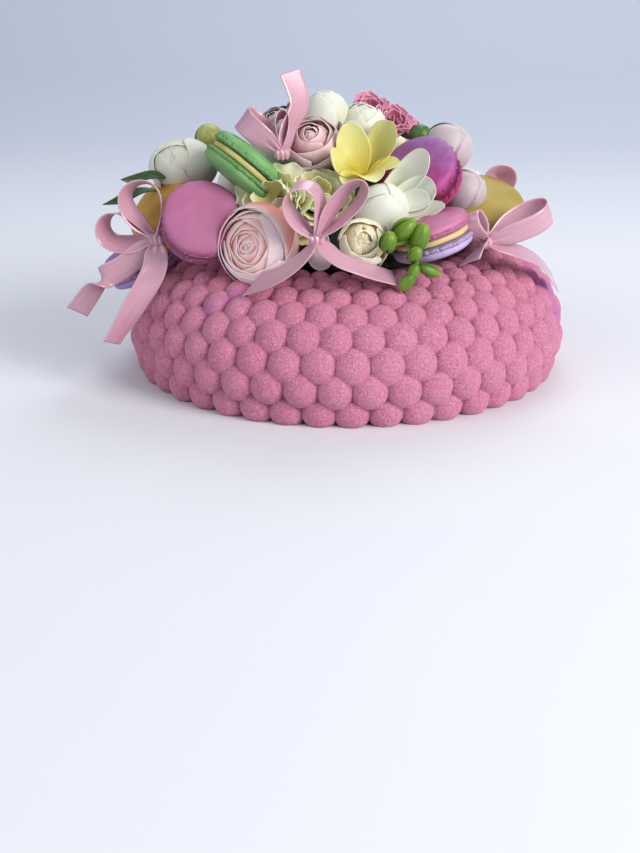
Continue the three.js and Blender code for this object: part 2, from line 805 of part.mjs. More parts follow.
// The space that a whole macaron takes up.
function macaronRoom() {
  const { radius, footFlare, browHeight, crownRadius, shellHeight, cream } = macaron;
  const tall = cream / 2 + 2 * gap + shellHeight;
  const edge = cream / 2 + 2 * gap + browHeight;
  const wide = radius + footFlare + gap;
  const inner = crownRadius + 2 * gap;
  const profile = [[0, -tall], [inner, -tall], [wide, -edge], [wide, edge], [inner, tall], [0, tall]];
  return solidOf(turnedBody(profile, macaronSides));
}

const group = new THREE.Group();
const rooms = [cakeRoom()];
const world = new THREE.Matrix4();

function addMesh(name, geometry, colour, place, roughness = 0.7) {
  const material = new THREE.MeshStandardMaterial({ color: colour, roughness, metalness: 0 });
  const mesh = new THREE.Mesh(geometry, material);
  mesh.name = name;
  mesh.applyMatrix4(place);
  group.add(mesh);
}

// The largest piece that a solid leaves once the rooms of its neighbours are taken out of it.
function largestOutside(solid, taken) {
  const left = wasm.Manifold.difference([solid, ...taken]).simplify(smallestStep);
  return left.decompose().sort((a, b) => b.volume() - a.volume())[0];
}

// Places a solid, clears it of every room so far and gives it back in its own frame.
function cleared(solid, place) {
  return moved(largestOutside(moved(solid, place), rooms), place.clone().invert());
}

function takeRoom(solid, place) {
  rooms.push(moved(solid, place));
}

addMesh('cake', cakeBody(), skin.cake, world, 0.9);

for (const bow of bows) {
  const place = new THREE.Matrix4().setPosition(...bow.at);
  addMesh(bow.name, geometryOf(cleared(bowSolid(bow), place)), skin.ribbon, place, 0.4);
  takeRoom(bowSolid(bow, gap), place);
}

const flip = new THREE.Matrix4().makeRotationX(Math.PI);
for (const piece of macarons) {
  const place = placement(piece);
  const under = place.clone().multiply(flip);
  const parts = [
    { name: `${piece.name}_top`, body: shellBody(), at: place, colour: piece.top },
    { name: `${piece.name}_cream`, body: creamBody(), at: place, colour: piece.cream },
    { name: `${piece.name}_base`, body: shellBody(), at: under, colour: piece.base },
  ];
  for (const { name, body, at, colour } of parts) {
    addMesh(name, geometryOf(cleared(solidOf(body), at)), colour, at);
  }
  takeRoom(macaronRoom(), place);
}

// the flowers are fitted to the bare mound, and the mound's leaves then fill what the flowers leave free
const bareMound = cleared(moundSolid(), world);
const bareMoundPlace = rooms.length;
takeRoom(moundSolid(gap), world);

for (const bloom of blooms) {
  const { name, form, radius, colour, stretch = [1, 1, 1] } = bloom;
  const place = placement(bloom);
  const solid = solidOf(flowerBody(form, radius).scale(...stretch));
  addMesh(name, geometryOf(cleared(solid, place)), colour, place);
  takeRoom(solidOf(flowerBody(form, radius, bloomGap).scale(...stretch)), place);
}

const sprayPlace = new THREE.Matrix4().setPosition(...spray.at);
addMesh(spray.name, geometryOf(cleared(spraySolid(spray), sprayPlace)), skin.bud, sprayPlace);
takeRoom(spraySolid(spray, gap), sprayPlace);

const petalSolid = (grow) => solidOf(eggBody(loosePetal.ends, loosePetal.radius, grow));
addMesh(loosePetal.name, geometryOf(cleared(petalSolid(0), world)), skin.palePink, world);
takeRoom(petalSolid(gap), world);

for (const leaf of leaves) {
  const { name, long, wide, bend } = leaf;
  const place = placement(leaf);
  const solid = solidOf(leafBody(long, wide, leafThickness, bend));
  addMesh(name, geometryOf(cleared(solid, place)), skin.leaf, place);
  takeRoom(solidOf(leafBody(long, wide, leafThickness + 2 * gap, bend)), place);
}

const roomsButMound = rooms.filter((room, place) => place !== bareMoundPlace);
const leafyMound = wasm.Manifold.union([bareMound, ...moundLeaves()]);
addMesh('stems', geometryOf(largestOutside(leafyMound, roomsButMound)), skin.stems, world);

export default group;
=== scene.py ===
from math import radians

import bpy
import numpy as np
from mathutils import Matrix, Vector


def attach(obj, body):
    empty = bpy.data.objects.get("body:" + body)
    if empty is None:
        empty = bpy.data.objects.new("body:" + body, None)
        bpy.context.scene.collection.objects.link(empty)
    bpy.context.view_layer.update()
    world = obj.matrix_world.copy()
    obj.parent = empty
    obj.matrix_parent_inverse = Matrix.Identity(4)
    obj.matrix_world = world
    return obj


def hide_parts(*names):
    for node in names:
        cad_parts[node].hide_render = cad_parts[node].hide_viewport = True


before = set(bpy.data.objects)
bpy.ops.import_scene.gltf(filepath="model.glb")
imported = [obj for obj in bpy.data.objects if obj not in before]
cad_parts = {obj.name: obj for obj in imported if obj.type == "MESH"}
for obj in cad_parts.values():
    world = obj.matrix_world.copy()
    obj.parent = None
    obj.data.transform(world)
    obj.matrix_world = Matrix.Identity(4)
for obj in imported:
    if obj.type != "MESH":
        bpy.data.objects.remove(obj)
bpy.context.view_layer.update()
mm = 0.001   # the tables below are in millimetres


# grids and meshes

# corner numbers of the four-sided faces of a rows x cols grid; closed joins the last column to the first
def gridQuads(rows, cols, closed=False):
    row = np.arange(rows - 1)[:, None] * cols
    col = np.arange(cols if closed else cols - 1)[None, :]
    nextCol = (col + 1) % cols
    quads = np.stack([row + col, row + nextCol, row + cols + nextCol, row + cols + col], -1)
    return quads.reshape(-1, 4)


# rings about +Z: a point lies at its reach along its angle, and at its height
def ringPoints(reach, up, angle):
    return np.stack(np.broadcast_arrays(reach * np.cos(angle), reach * np.sin(angle), up), -1)


# rings of points closed to a body, by a fan of faces round a first and a last middle point
def cappedRings(rings, first, last):
    rows, cols = rings.shape[:2]
    here = np.arange(cols)
    after = (here + 1) % cols
    lastRow = (rows - 1) * cols
    fans = [np.stack([np.full(cols, rows * cols), here, after], -1),
            np.stack([np.full(cols, rows * cols + 1), lastRow + after, lastRow + here], -1)]
    points = np.concatenate([rings.reshape(-1, 3), [first, last]])
    return points, [gridQuads(rows, cols, True)[:, ::-1], np.concatenate(fans)]


# a mesh from arrays, in millimetres; values are float attributes on its points, uv is one pair for each
# point
def meshFrom(name, points, faces, values=None, uv=None):
    mesh = bpy.data.meshes.new(name)
    quads = [f for f in faces if f.shape[1] == 4]
    tris = [f for f in faces if f.shape[1] == 3]
    loops = np.concatenate([f.ravel() for f in quads + tris]).astype(np.int32)
    sizes = np.concatenate([np.full(len(f), f.shape[1]) for f in quads + tris])
    starts = np.concatenate([[0], np.cumsum(sizes)[:-1]]).astype(np.int32)
    mesh.vertices.add(len(points))
    mesh.vertices.foreach_set("co", (np.asarray(points, float) * mm).ravel())
    mesh.loops.add(len(loops))
    mesh.loops.foreach_set("vertex_index", loops)
    mesh.polygons.add(len(sizes))
    mesh.polygons.foreach_set("loop_start", starts)
    mesh.polygons.foreach_set("use_smooth", np.ones(len(sizes), bool))
    mesh.update(calc_edges=True)
    for key, value in (values or {}).items():
        data = mesh.attributes.new(key, "FLOAT", "POINT").data
        data.foreach_set("value", np.asarray(value, np.float32).ravel())
    if uv is not None:
        data = mesh.uv_layers.new(name="UVMap").data
        data.foreach_set("uv", np.asarray(uv, np.float32).reshape(-1, 2)[loops].ravel())
    mesh.validate()
    return mesh


# an object for a mesh, riding on the one body and standing for its CAD node; thickness is in millimetres
def addPiece(name, mesh, material, node, thickness=0.0):
    piece = bpy.data.objects.new(name, mesh)
    bpy.context.scene.collection.objects.link(piece)
    piece.data.materials.append(material)
    if thickness:
        wall = piece.modifiers.new("thickness", "SOLIDIFY")
        wall.thickness = thickness * mm
        wall.offset = 0.0
    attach(piece, "root")
    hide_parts(node)
    return piece


# the direction a flower or shell faces: turned from -Y towards +X, lifted above the level
def facing(turned, lifted):
    t, l = radians(turned), radians(lifted)
    return np.array([np.sin(t) * np.cos(l), -np.cos(t) * np.cos(l), np.sin(l)])


# puts local points where local +Z faces that way and local +X stays level before the roll
def placed(points, at, turned=0, lifted=0, rolled=0):
    forward = facing(turned, lifted)
    level = np.array([np.cos(radians(turned)), np.sin(radians(turned)), 0.0])
    upward = np.cross(forward, level)
    c, s = np.cos(radians(rolled)), np.sin(radians(rolled))
    basis = np.stack([c * level + s * upward, c * upward - s * level, forward])
    return points @ basis + np.asarray(at, float)


# a smooth wobble between about -1 and 1: a sum of sines along seeded directions, one unit of size apart
def wobble(points, size, seed, waves=7):
    draw = np.random.default_rng(seed)
    ways = draw.normal(size=(waves, 3))
    lengths = np.linalg.norm(ways, axis=1, keepdims=True)
    ways *= (2 * np.pi / size) * draw.uniform(0.6, 1.5, (waves, 1)) / lengths
    phases = draw.uniform(0, 2 * np.pi, waves)
    return np.sin(points @ ways.T + phases).sum(-1) / np.sqrt(waves) * 0.7


# vectors divided by their own lengths
def unit(vectors):
    return vectors / np.linalg.norm(vectors, axis=-1, keepdims=True)


# 3 t^2 - 2 t^3, where t runs from 0 at low to 1 at high
def smoothStep(low, high, x):
    t = np.clip((x - low) / (high - low), 0, 1)
    return t * t * (3 - 2 * t)


# node materials

# a hex colour as linear red, green and blue by the sRGB curve, with a full alpha
def srgb(text):
    value = np.array([int(text[i:i + 2], 16) for i in (0, 2, 4)]) / 255
    value = np.where(value <= 0.04045, value / 12.92, ((value + 0.055) / 1.055) ** 2.4)
    return (*map(float, value), 1.0)


# each channel of a hex colour times a share
def darker(text, share):
    return "".join(f"{int(int(text[i:i + 2], 16) * share):02x}" for i in (0, 2, 4))


class Finish:
    # a Principled material and short ways to add the nodes that feed it
    def __init__(self, name, settings):
        self.material = bpy.data.materials.new(name)
        self.material.use_nodes = True
        self.tree = self.material.node_tree
        self.shader = self.tree.nodes["Principled BSDF"]
        for key, value in settings.items():
            self.feed(key, value)
        self.coords = self.node("ShaderNodeTexCoord")

    # an input takes a link from a socket, a hex colour, or a plain value
    def plug(self, node, key, value):
        if isinstance(value, bpy.types.NodeSocket):
            self.tree.links.new(value, node.inputs[key])
        else:
            node.inputs[key].default_value = srgb(value) if isinstance(value, str) else value

    def feed(self, key, value):
        self.plug(self.shader, key, value)

    def node(self, kind, inputs=None, **settings):
        made = self.tree.nodes.new(kind)
        for key, value in settings.items():
            setattr(made, key, value)
        for key, value in (inputs or {}).items():
            self.plug(made, key, value)
        return made

    def attribute(self, name):
        return self.node("ShaderNodeAttribute", attribute_name=name).outputs["Fac"]

    def noise(self, scale, detail=3.0, roughness=0.55, where=None, stretch=None, distortion=0.0):
        where = where or self.coords.outputs["Object"]
        if stretch:
            where = self.node("ShaderNodeMapping", {"Vector": where, "Scale": stretch}).outputs["Vector"]
        inputs = {"Vector": where, "Scale": scale, "Detail": detail, "Roughness": roughness,
                  "Distortion": distortion}
        return self.node("ShaderNodeTexNoise", inputs).outputs["Fac"]

    def ramp(self, factor, *stops):
        made = self.node("ShaderNodeValToRGB", {"Fac": factor})
        band = made.color_ramp
        while len(band.elements) < len(stops):
            band.elements.new(1.0)
        for element, (place, colour) in zip(band.elements, stops):
            element.position = place
            element.color = srgb(colour)
        return made.outputs["Color"]

    # inputs 6 and 7 and output 2 of the mix node are its colours
    def mix(self, factor, a, b):
        return self.node("ShaderNodeMix", {0: factor, 6: a, 7: b}, data_type="RGBA").outputs[2]

    def maths(self, operation, a, b=0.0):
        return self.node("ShaderNodeMath", {0: a, 1: b}, operation=operation).outputs[0]

    def times(self, a, b):
        return self.maths("MULTIPLY", a, b)

    # a level shifted by a noise round its middle: level + (noise - 0.5) * share
    def shifted(self, level, noise, share):
        return self.maths("ADD", level, self.times(self.maths("SUBTRACT", noise, 0.5), share))

    def spread(self, factor, low, high, toLow=0.0, toHigh=1.0):
        inputs = {"Value": factor, "From Min": low, "From Max": high, "To Min": toLow, "To Max": toHigh}
        return self.node("ShaderNodeMapRange", inputs).outputs["Result"]

    # bumps stacked one on the other, each (height socket, strength, depth in millimetres)
    def bumps(self, *layers):
        normal = None
        for height, strength, depth in layers:
            inputs = {"Height": height, "Strength": strength, "Distance": depth * mm}
            if normal:
                inputs["Normal"] = normal
            normal = self.node("ShaderNodeBump", inputs).outputs["Normal"]
        self.feed("Normal", normal)


# the cake

# rings are shares of a ball's cell, dish holds the radius and height of each ring from the rim inwards
cake = {
    "ballsPerRow": 42, "ballRows": 8, "centreRadius": 65, "centreHeight": 21.5, "across": 45.5,
    "rise": 40.5,
    "firstRowAngle": -21, "rowStepAngle": 17.6, "rowStepShrink": 0.95,
    "firstBallAngle": -2.8, "ballFill": 0.625, "ballSunk": 0.074,
    "rings": [0.2, 0.38, 0.54, 0.68, 0.79, 0.875, 0.935, 0.97, 0.988, 1.0], "perSide": 5,
    "sharedGrid": 4096,
    "dish": [(61, 61.5), (57.5, 60.6), (54, 60), (30, 60)], "dishCrest": 0.55,
    "unevenSize": 0.022, "unevenPlace": 0.05, "valleySoftness": 0.2, "seed": 4,
    "pink": "d17d9b", "pinkLight": "d887a4", "pinkDeep": "a9516f", "grainLight": "e3a0b8",
    # the valley colour is painted shade for the creases between the balls
    "valleyShade": "6a2442",
    "purple": "bb66b6",
}


# the shoulder at a row: its radius, its height and the outward direction, on an ellipse whose rows
# shrink upwards
def shoulderAt(row):
    c = cake
    turned = c["rowStepAngle"] * (1 - c["rowStepShrink"] ** row) / (1 - c["rowStepShrink"])
    angle = np.radians(c["firstRowAngle"] + turned)
    outX, outZ = np.cos(angle) / c["across"], np.sin(angle) / c["rise"]
    length = np.hypot(outX, outZ)
    return (c["centreRadius"] + c["across"] * np.cos(angle), c["centreHeight"] + c["rise"] * np.sin(angle),
            outX / length, outZ / length)


# a point up over the shoulder along its outward direction, half ball steps round, and never below the floor
def overShoulder(row, half, up):
    radius, height, outX, outZ = shoulderAt(row)
    angle = np.radians(cake["firstBallAngle"] + half * 180 / cake["ballsPerRow"])
    reach = radius + up * outX
    return np.stack([reach * np.sin(angle), -reach * np.cos(angle), np.maximum(height + up * outZ, 0)], -1)


# from ball to ball in a row: the way round divided by the number of balls
def pitchAt(row):
    return 2 * np.pi * shoulderAt(row)[0] / cake["ballsPerRow"]


# where the valleys between two rows meet, as a share of the step between the rows
def valleyShare(lower):
    wide, low = shoulderAt(lower)[:2]
    narrow, high = shoulderAt(lower + 1)[:2]
    step2 = (wide - narrow) ** 2 + (high - low) ** 2
    return (step2 - (pitchAt(lower + 0.5) / 2) ** 2) / (2 * step2)


# height of the joined balls over the shoulder: each ball gives sqrt(size^2 - distance^2), and a soft
# maximum, softness * log(sum of exp(height / softness)), joins them; steady keeps the powers small
def ballRelief(row, half, sizes, shifts):
    c = cake
    steady = 30
    here = overShoulder(row, half, 0 * row)
    nearRow = np.round(row).astype(int)
    best, total, crest = np.zeros(row.shape), np.zeros(row.shape), np.zeros(row.shape)
    for rowStep in (-1, 0, 1):
        ballRow = nearRow + rowStep
        known = (ballRow >= 0) & (ballRow < c["ballRows"])
        pitch = pitchAt(ballRow.astype(float))
        odd = (ballRow + 1) % 2
        nearHalf = 2 * np.round((half - odd) / 2) + odd
        for halfStep in (-2, 0, 2):
            ballHalf = nearHalf + halfStep
            r = np.clip(ballRow, 0, c["ballRows"] - 1)
            h = ballHalf.astype(int) % (2 * c["ballsPerRow"])
            size = sizes[r, h] * c["ballFill"] * pitch
            centre = overShoulder(ballRow + shifts[r, h, 0], ballHalf + shifts[r, h, 1], 0 * row)
            away = np.linalg.norm(here - centre, axis=-1)
            height = np.sqrt(np.maximum(size ** 2 - away ** 2, 0)) - c["ballSunk"] * pitch
            height = np.where(known, height, 0)
            total += np.exp(height / c["valleySoftness"] - steady)
            best = np.maximum(best, height)
            crest = np.maximum(crest, np.where(known, height / size, 0))
    return c["valleySoftness"] * (np.log(total) + steady) * (best > 0), crest


# every ball is a six-sided cell: rings run from its middle to its edge, which it shares with its neighbours
def cakeMesh():
    c = cake
    rows, halves = c["ballRows"], 2 * c["ballsPerRow"]
    draw = np.random.default_rng(c["seed"])
    sizes = 1 + c["unevenSize"] * draw.uniform(-1, 1, (rows, halves))
    shifts = c["unevenPlace"] * draw.uniform(-1, 1, (rows, halves, 2))
    floorAngle = -np.degrees(np.arcsin(c["centreHeight"] / c["rise"]))
    climb = (floorAngle - c["firstRowAngle"]) * (1 - c["rowStepShrink"]) / c["rowStepAngle"]
    floorRow = np.log(1 - climb) / np.log(c["rowStepShrink"])
    rings = np.array(c["rings"])
    around = 6 * c["perSide"]
    turnTo = (np.arange(around) + 1) % around
    fan = np.stack([np.zeros(around, int), 1 + np.arange(around), 1 + turnTo], -1)
    cell = gridQuads(len(rings), around, closed=True)[:, ::-1] + 1
    along = np.arange(c["perSide"])[None, :, None] / c["perSide"]
    rowAll, halfAll, quads, tris, count = [], [], [], [], 0
    for row in range(rows):
        above, below = valleyShare(row), valleyShare(row - 1)
        low = below - 1 if row else floorRow
        side = -below if row else floorRow
        corners = np.array([[above, 1], [1 - above, 0], [above, -1], [side, -1], [low, 0], [side, 1]])
        edge = (corners[:, None] * (1 - along) + np.roll(corners, -1, 0)[:, None] * along).reshape(-1, 2)
        spots = np.concatenate([np.zeros((1, 2)), (rings[:, None, None] * edge[None]).reshape(-1, 2)])
        balls = np.arange(halves)[(np.arange(halves) + row) % 2 == 1]
        rowAll.append(np.broadcast_to(row + spots[:, 0], (len(balls), len(spots))).ravel())
        halfAll.append((balls[:, None] + spots[None, :, 1]).ravel())
        starts = count + np.arange(len(balls))[:, None, None] * len(spots)
        quads.append((cell[None] + starts).reshape(-1, 4))
        tris.append((fan[None] + starts).reshape(-1, 3))
        count += len(balls) * len(spots)
    row, half = np.concatenate(rowAll), np.concatenate(halfAll)
    # cells that meet share their edge points: points on the same step of a fine grid are one
    fine = c["sharedGrid"]
    keys = np.stack([np.round(row * fine), np.round((half % halves) * fine) % (halves * fine)], -1)
    _, first, back = np.unique(keys.astype(np.int64), axis=0, return_index=True, return_inverse=True)
    back = back.ravel()
    row, half = row[first], half[first]
    up, crest = ballRelief(row, half, sizes, shifts)
    points = overShoulder(row, half, up)
    quads, tris = back[np.concatenate(quads)], back[np.concatenate(tris)]
    # the dish on top and the flat base close the body
    onTop = np.where(row > rows - 1 + valleyShare(rows - 1) - 1e-6)[0]
    onTop = onTop[np.argsort((half[onTop] + 0.5) % halves)]
    onFloor = np.where(np.abs(row - floorRow) < 1e-6)[0]
    onFloor = onFloor[np.argsort((half[onFloor] + 0.5) % halves)]
    rimAngle = np.arctan2(points[onTop, 0], -points[onTop, 1])
    base, size = len(points), len(onTop)
    dish = [np.stack([radius * np.sin(rimAngle), -radius * np.cos(rimAngle), np.full(size, height)], -1)
            for radius, height in c["dish"]]
    points = np.concatenate([points, *dish, [[0, 0, c["dish"][-1][1]], [0, 0, 0]]])
    loops = [onTop] + [base + k * size + np.arange(size) for k in range(len(dish))]
    sides = [np.stack([outer, np.roll(outer, -1), np.roll(closer, -1), closer], -1)
             for outer, closer in zip(loops, loops[1:])]
    topMiddle = base + len(dish) * size
    capTop = np.stack([loops[-1], np.roll(loops[-1], -1), np.full(size, topMiddle)], -1)
    capBase = np.stack([np.roll(onFloor, -1), onFloor, np.full(len(onFloor), topMiddle + 1)], -1)
    crest = np.concatenate([crest, np.full(len(points) - len(crest), c["dishCrest"])])
    faces = [np.concatenate([quads, *sides]), np.concatenate([tris, capTop, capBase])]
    return meshFrom("cake", points, faces, {"crest": crest})


# velvet: two pinks in patches, a darker and a lighter grain over them, and painted shade in the valleys
# where crest is low
def cakeFinish():
    c = cake
    f = Finish("velvet cocoa butter", {
        "Roughness": 0.92, "Specular IOR Level": 0.22, "Sheen Weight": 0.35, "Sheen Roughness": 0.5,
        "Sheen Tint": "f6c9d6", "Subsurface Weight": 0.12, "Subsurface Radius": (0.004, 0.0016, 0.0016)})
    grain = f.noise(1050, 2, 0.55, distortion=0.9)
    crinkle = f.noise(2100, 2, 0.6)
    patches = f.noise(22, 2, 0.5)
    crest = f.attribute("crest")
    body = f.mix(f.spread(patches, 0.35, 0.65), c["pink"], c["pinkLight"])
    body = f.mix(f.spread(grain, 0.36, 0.5, 0.45, 0.0), body, c["pinkDeep"])
    body = f.mix(f.spread(grain, 0.5, 0.64, 0.0, 0.75), body, c["grainLight"])
    # painted shade: the creases between the balls darken where crest is low
    body = f.mix(f.spread(crest, 0.3, 0.58, 0.9, 0.0), body, c["valleyShade"])
    f.feed("Base Color", purpleTouches(f, body))
    f.bumps((grain, 1.0, 1.1), (crinkle, 0.6, 0.4))
    return f.material


# faint touches of purple colouring on the cake: a place, a radius and a strength
purpleTouch = [((-69, -76, 50), 8, 0.5), ((-56, -79, 56), 8, 0.45),
               ((104, -20, 52), 16, 0.7), ((114, -24, 38), 14, 0.5)]


# each touch fades from its strength at 0.3 of its radius to nothing at the radius
def purpleTouches(f, colour):
    for (x, y, z), radius, share in purpleTouch:
        away = f.node("ShaderNodeVectorMath", {0: f.coords.outputs["Object"], 1: (x * mm, y * mm, z * mm)},
                      operation="DISTANCE").outputs["Value"]
        colour = f.mix(f.spread(away, 0.3 * radius * mm, radius * mm, share, 0.0), colour, cake["purple"])
    return colour


addPiece("cake_mousse", cakeMesh(), cakeFinish(), "cake")
print("the cake is moulded")


# the macarons

macaronShape = {
    "radius": 20.5, "footHeight": 2.6, "footOut": 0.55, "shellHeight": 8.2, "cream": 3.4, "gap": 0.35,
    "creamRadius": 19.3, "around": 144, "creamAround": 96, "domeSteps": 26, "footSteps": 9,
    "under": [0.93, 0.8, 0.4], "ruffles": [(9, 0.3), (17, 0.45), (29, 0.6), (47, 0.5), (61, 0.35)],
    "bubbles": (31, 43, 57), "ruffleDepth": 0.55, "bubbleDepth": 0.42,
}

macarons = {
    "mauve": dict(at=(-74, -52, 89), turned=12, lifted=38, top=("b0628a", "b86f95"),
                  base=("ab5d84", "b3698e"), cream="e6cdd6"),
    "green": dict(at=(-53, -38, 115), turned=112, lifted=48, top=("6fa864", "82b872"),
                  base=("659c5a", "79ac68"), cream="cfc37a"),
    "ochre": dict(at=(-96, -18, 87), turned=-62, lifted=40, top=("c4922e", "cf9f3c"),
                  base=("b8882e", "c4963a"), cream="d6c184"),
    "plum": dict(at=(38, -36, 110), turned=-35, lifted=45, top=("94629f", "ad3267"),
                 base=("a03060", "b73a6c"), cream="7c2a4e"),
    "rose": dict(at=(42, -62, 85), turned=-90, lifted=73, top=("b8698f", "c4789c"),
                 base=("b39cc8", "c2aed6"), cream="dcc388"),
    "yellow": dict(at=(73, -18, 89), turned=25, lifted=62, top=("a08a3a", "ab9748"),
                   base=("9c8536", "a89242"), cream="ddd0a4"),
    "lilac": dict(at=(-110, -14, 60), turned=-90, lifted=64, top=("94639f", "a273ac"),
                  base=("a480b8", "b190c4"), cream="c0a4c2"),
    "coral": dict(at=(34, 70, 88), turned=160, lifted=40, top=("da8780", "e39a92"),
                  base=("d68079", "e0938b"), cream="ead8b8"),
}


# a shell turned about its axis: a flattened dome over a bubbly foot, whose bubbles are sines round the rim
def shellMesh(name, spec, side, seed):
    m = macaronShape
    angle = np.linspace(0, 2 * np.pi, m["around"], endpoint=False)
    t = np.linspace(0, 1, m["domeSteps"])[1:]
    bottom = m["cream"] / 2 + m["gap"]
    domeReach = m["radius"] * np.sin(t * np.pi / 2) ** 0.86
    domeUp = bottom + m["footHeight"] + (m["shellHeight"] - m["footHeight"]) * np.cos(t * np.pi / 2) ** 0.62
    f = np.linspace(0, 1, m["footSteps"])[1:]
    footReach = m["radius"] - 0.35 + m["footOut"] * np.sin(np.pi * f) ** 0.7
    footUp = bottom + m["footHeight"] * (1 - f)
    under = np.array(m["under"])
    reach = np.concatenate([domeReach, footReach, m["radius"] * under])
    up = np.concatenate([domeUp, footUp, np.full(len(under), bottom)])
    foot = np.concatenate([0 * t, np.sin(np.pi * f * 0.97) ** 0.6, 0 * under])
    ring = np.concatenate([t, np.full(len(f) + len(under), 1.0)])
    draw = np.random.default_rng(seed)
    ruffle = sum(np.sin(k * angle + draw.uniform(0, 6.3)) * s for k, s in m["ruffles"])
    bubbles = sum(np.sin(k * angle[None] + draw.uniform(0, 6.3) + 5 * f[:, None]) for k in m["bubbles"]) / 3
    swell = foot[:, None] * m["ruffleDepth"] * ruffle[None]
    swell[len(t):len(t) + len(f)] += m["bubbleDepth"] * bubbles * np.sin(np.pi * f)[:, None]
    lopsided = 1 + 0.008 * np.sin(2 * angle + draw.uniform(0, 6.3))
    lopsided = lopsided + 0.005 * np.sin(3 * angle + draw.uniform(0, 6.3))
    r = reach[:, None] * lopsided[None] + swell
    lip = np.exp(-((ring[:, None] - 1) / 0.05) ** 2) * (foot[:, None] == 0)
    points = ringPoints(r, up[:, None] + 0.10 * ruffle[None] * lip, angle).reshape(-1, 3)
    points[:, 2] += 0.16 * wobble(points, 16, seed) * (1 - np.repeat(ring ** 4, len(angle)))
    points, faces = cappedRings(points.reshape(*r.shape, 3), (0, 0, bottom + m["shellHeight"]),
                                (0, 0, bottom))
    if side < 0:
        points = points * [1, -1, -1]
    values = {"foot": np.concatenate([np.repeat(foot, len(angle)), [0, 0]])}
    return meshFrom(name, placed(points, spec["at"], spec["turned"], spec["lifted"]), faces, values)


# the cream between the shells: a disc whose side bulges as a half circle and wavers as two sines round it
def creamMesh(name, spec, seed):
    m = macaronShape
    angle = np.linspace(0, 2 * np.pi, m["creamAround"], endpoint=False)
    t = np.linspace(-1, 1, 9)
    half = m["cream"] / 2 - 0.02
    inner = [0.5 * m["creamRadius"]]
    reach = np.concatenate([inner, m["creamRadius"] - 1.0 + 1.15 * np.sqrt(np.maximum(1 - t ** 2, 0)),
                            inner])
    up = np.concatenate([[half], -t * half, [-half]])
    r = reach[:, None] * (1 + 0.012 * np.sin(3 * angle + seed) + 0.008 * np.sin(8 * angle + 2 * seed))[None]
    points, faces = cappedRings(ringPoints(r, up[:, None], angle), (0, 0, half), (0, 0, -half))
    return meshFrom(name, placed(points, spec["at"], spec["turned"], spec["lifted"]), faces)


# a matt shell in two tones, with a rough foot that is lighter on its crumbs and darker between them
def shellFinish(name, colours, brushed=False):
    f = Finish(name, {"Roughness": 0.55, "Subsurface Weight": 0.1,
                      "Subsurface Radius": (0.002, 0.0015, 0.0012)})
    patches = f.noise(70, 3, 0.5)
    pores = f.noise(1900, 2, 0.6)
    crumb = f.noise(900, 4, 0.7)
    foot = f.attribute("foot")
    if brushed:
        # the colour runs from purple above to magenta below, in fine brush strokes
        height = f.node("ShaderNodeSeparateXYZ", {"Vector": f.coords.outputs["Object"]}).outputs["Z"]
        strokes = f.noise(300, 2, 0.5, stretch=(1.0, 1.0, 0.12))
        level = f.shifted(height, strokes, 0.02)
        body = f.ramp(f.spread(level, 0.098, 0.126), (0.0, colours[1]), (0.45, "b2458c"), (1.0, colours[0]))
        body = f.mix(f.spread(strokes, 0.42, 0.6, 0.25, 0.0), body, "8c2a63")
    else:
        body = f.mix(f.spread(patches, 0.35, 0.65), colours[0], colours[1])
    body = f.mix(f.times(foot, f.spread(crumb, 0.35, 0.65, 0.1, 0.55)), body, colours[1])
    body = f.mix(f.times(foot, f.spread(crumb, 0.30, 0.48, 0.55, 0.0)), body, darker(colours[0], 0.6))
    f.feed("Base Color", body)
    f.feed("Roughness", f.spread(pores, 0.3, 0.7, 0.46, 0.62))
    rough = f.times(f.maths("ADD", f.times(foot, 6.0), 0.35), f.noise(520, 3, 0.6))
    f.bumps((rough, 0.8, 0.6), (pores, 0.25, 0.08))
    return f.material


# soft cream with darker lumps
def creamFinish(name, colour):
    f = Finish(name, {"Roughness": 0.42, "Subsurface Weight": 0.25,
                      "Subsurface Radius": (0.003, 0.002, 0.0012)})
    lumps = f.noise(260, 3, 0.5)
    f.feed("Base Color", f.mix(f.spread(lumps, 0.35, 0.65, 0.0, 0.5), colour, darker(colour, 0.86)))
    f.bumps((lumps, 0.5, 0.3),)
    return f.material


for number, (name, spec) in enumerate(macarons.items()):
    for part, side in (("top", 1), ("base", -1)):
        node = f"macaron_{name}_{part}"
        addPiece(f"{name}_{part}_shell", shellMesh(node, spec, side, 10 * number + side + 2),
                 shellFinish(f"{name} {part} shell", spec[part], name == "plum"), node)
    node = f"macaron_{name}_cream"
    addPiece(f"{name}_cream", creamMesh(node, spec, number), creamFinish(f"{name} cream", spec["cream"]),
             node)
print("the macarons are filled")


# the flowers

# petals wrapped over egg-shaped shells, a golden angle apart: a point is out by shell * sin(bend) and up
# by -deep * cos(bend), where bend runs from the back to the rim. The corners stop short of the rim's
# middle, one side tucks under the next petal, and ripples push the rim along the shell's normal
wrapForm = {
    "petals": 24, "rows": 19, "cols": 23, "turnFirst": 0, "heart": 0.2, "spacing": 0.8, "base": -0.05,
    "deepHeart": 0.4, "deepRim": 0.72, "closedHeart": 196, "closedRim": 114, "openLate": 0.7,
    "lean": 0, "leanTo": 0, "wideHeart": 92, "wideRim": 62, "claw": 0.45, "corner": 30, "tuck": 0.05,
    "ripple": 0.012, "ripples": 4.5, "rippleLate": 4, "flare": 0.03, "from": 28, "stretch": (1, 1, 1),
}


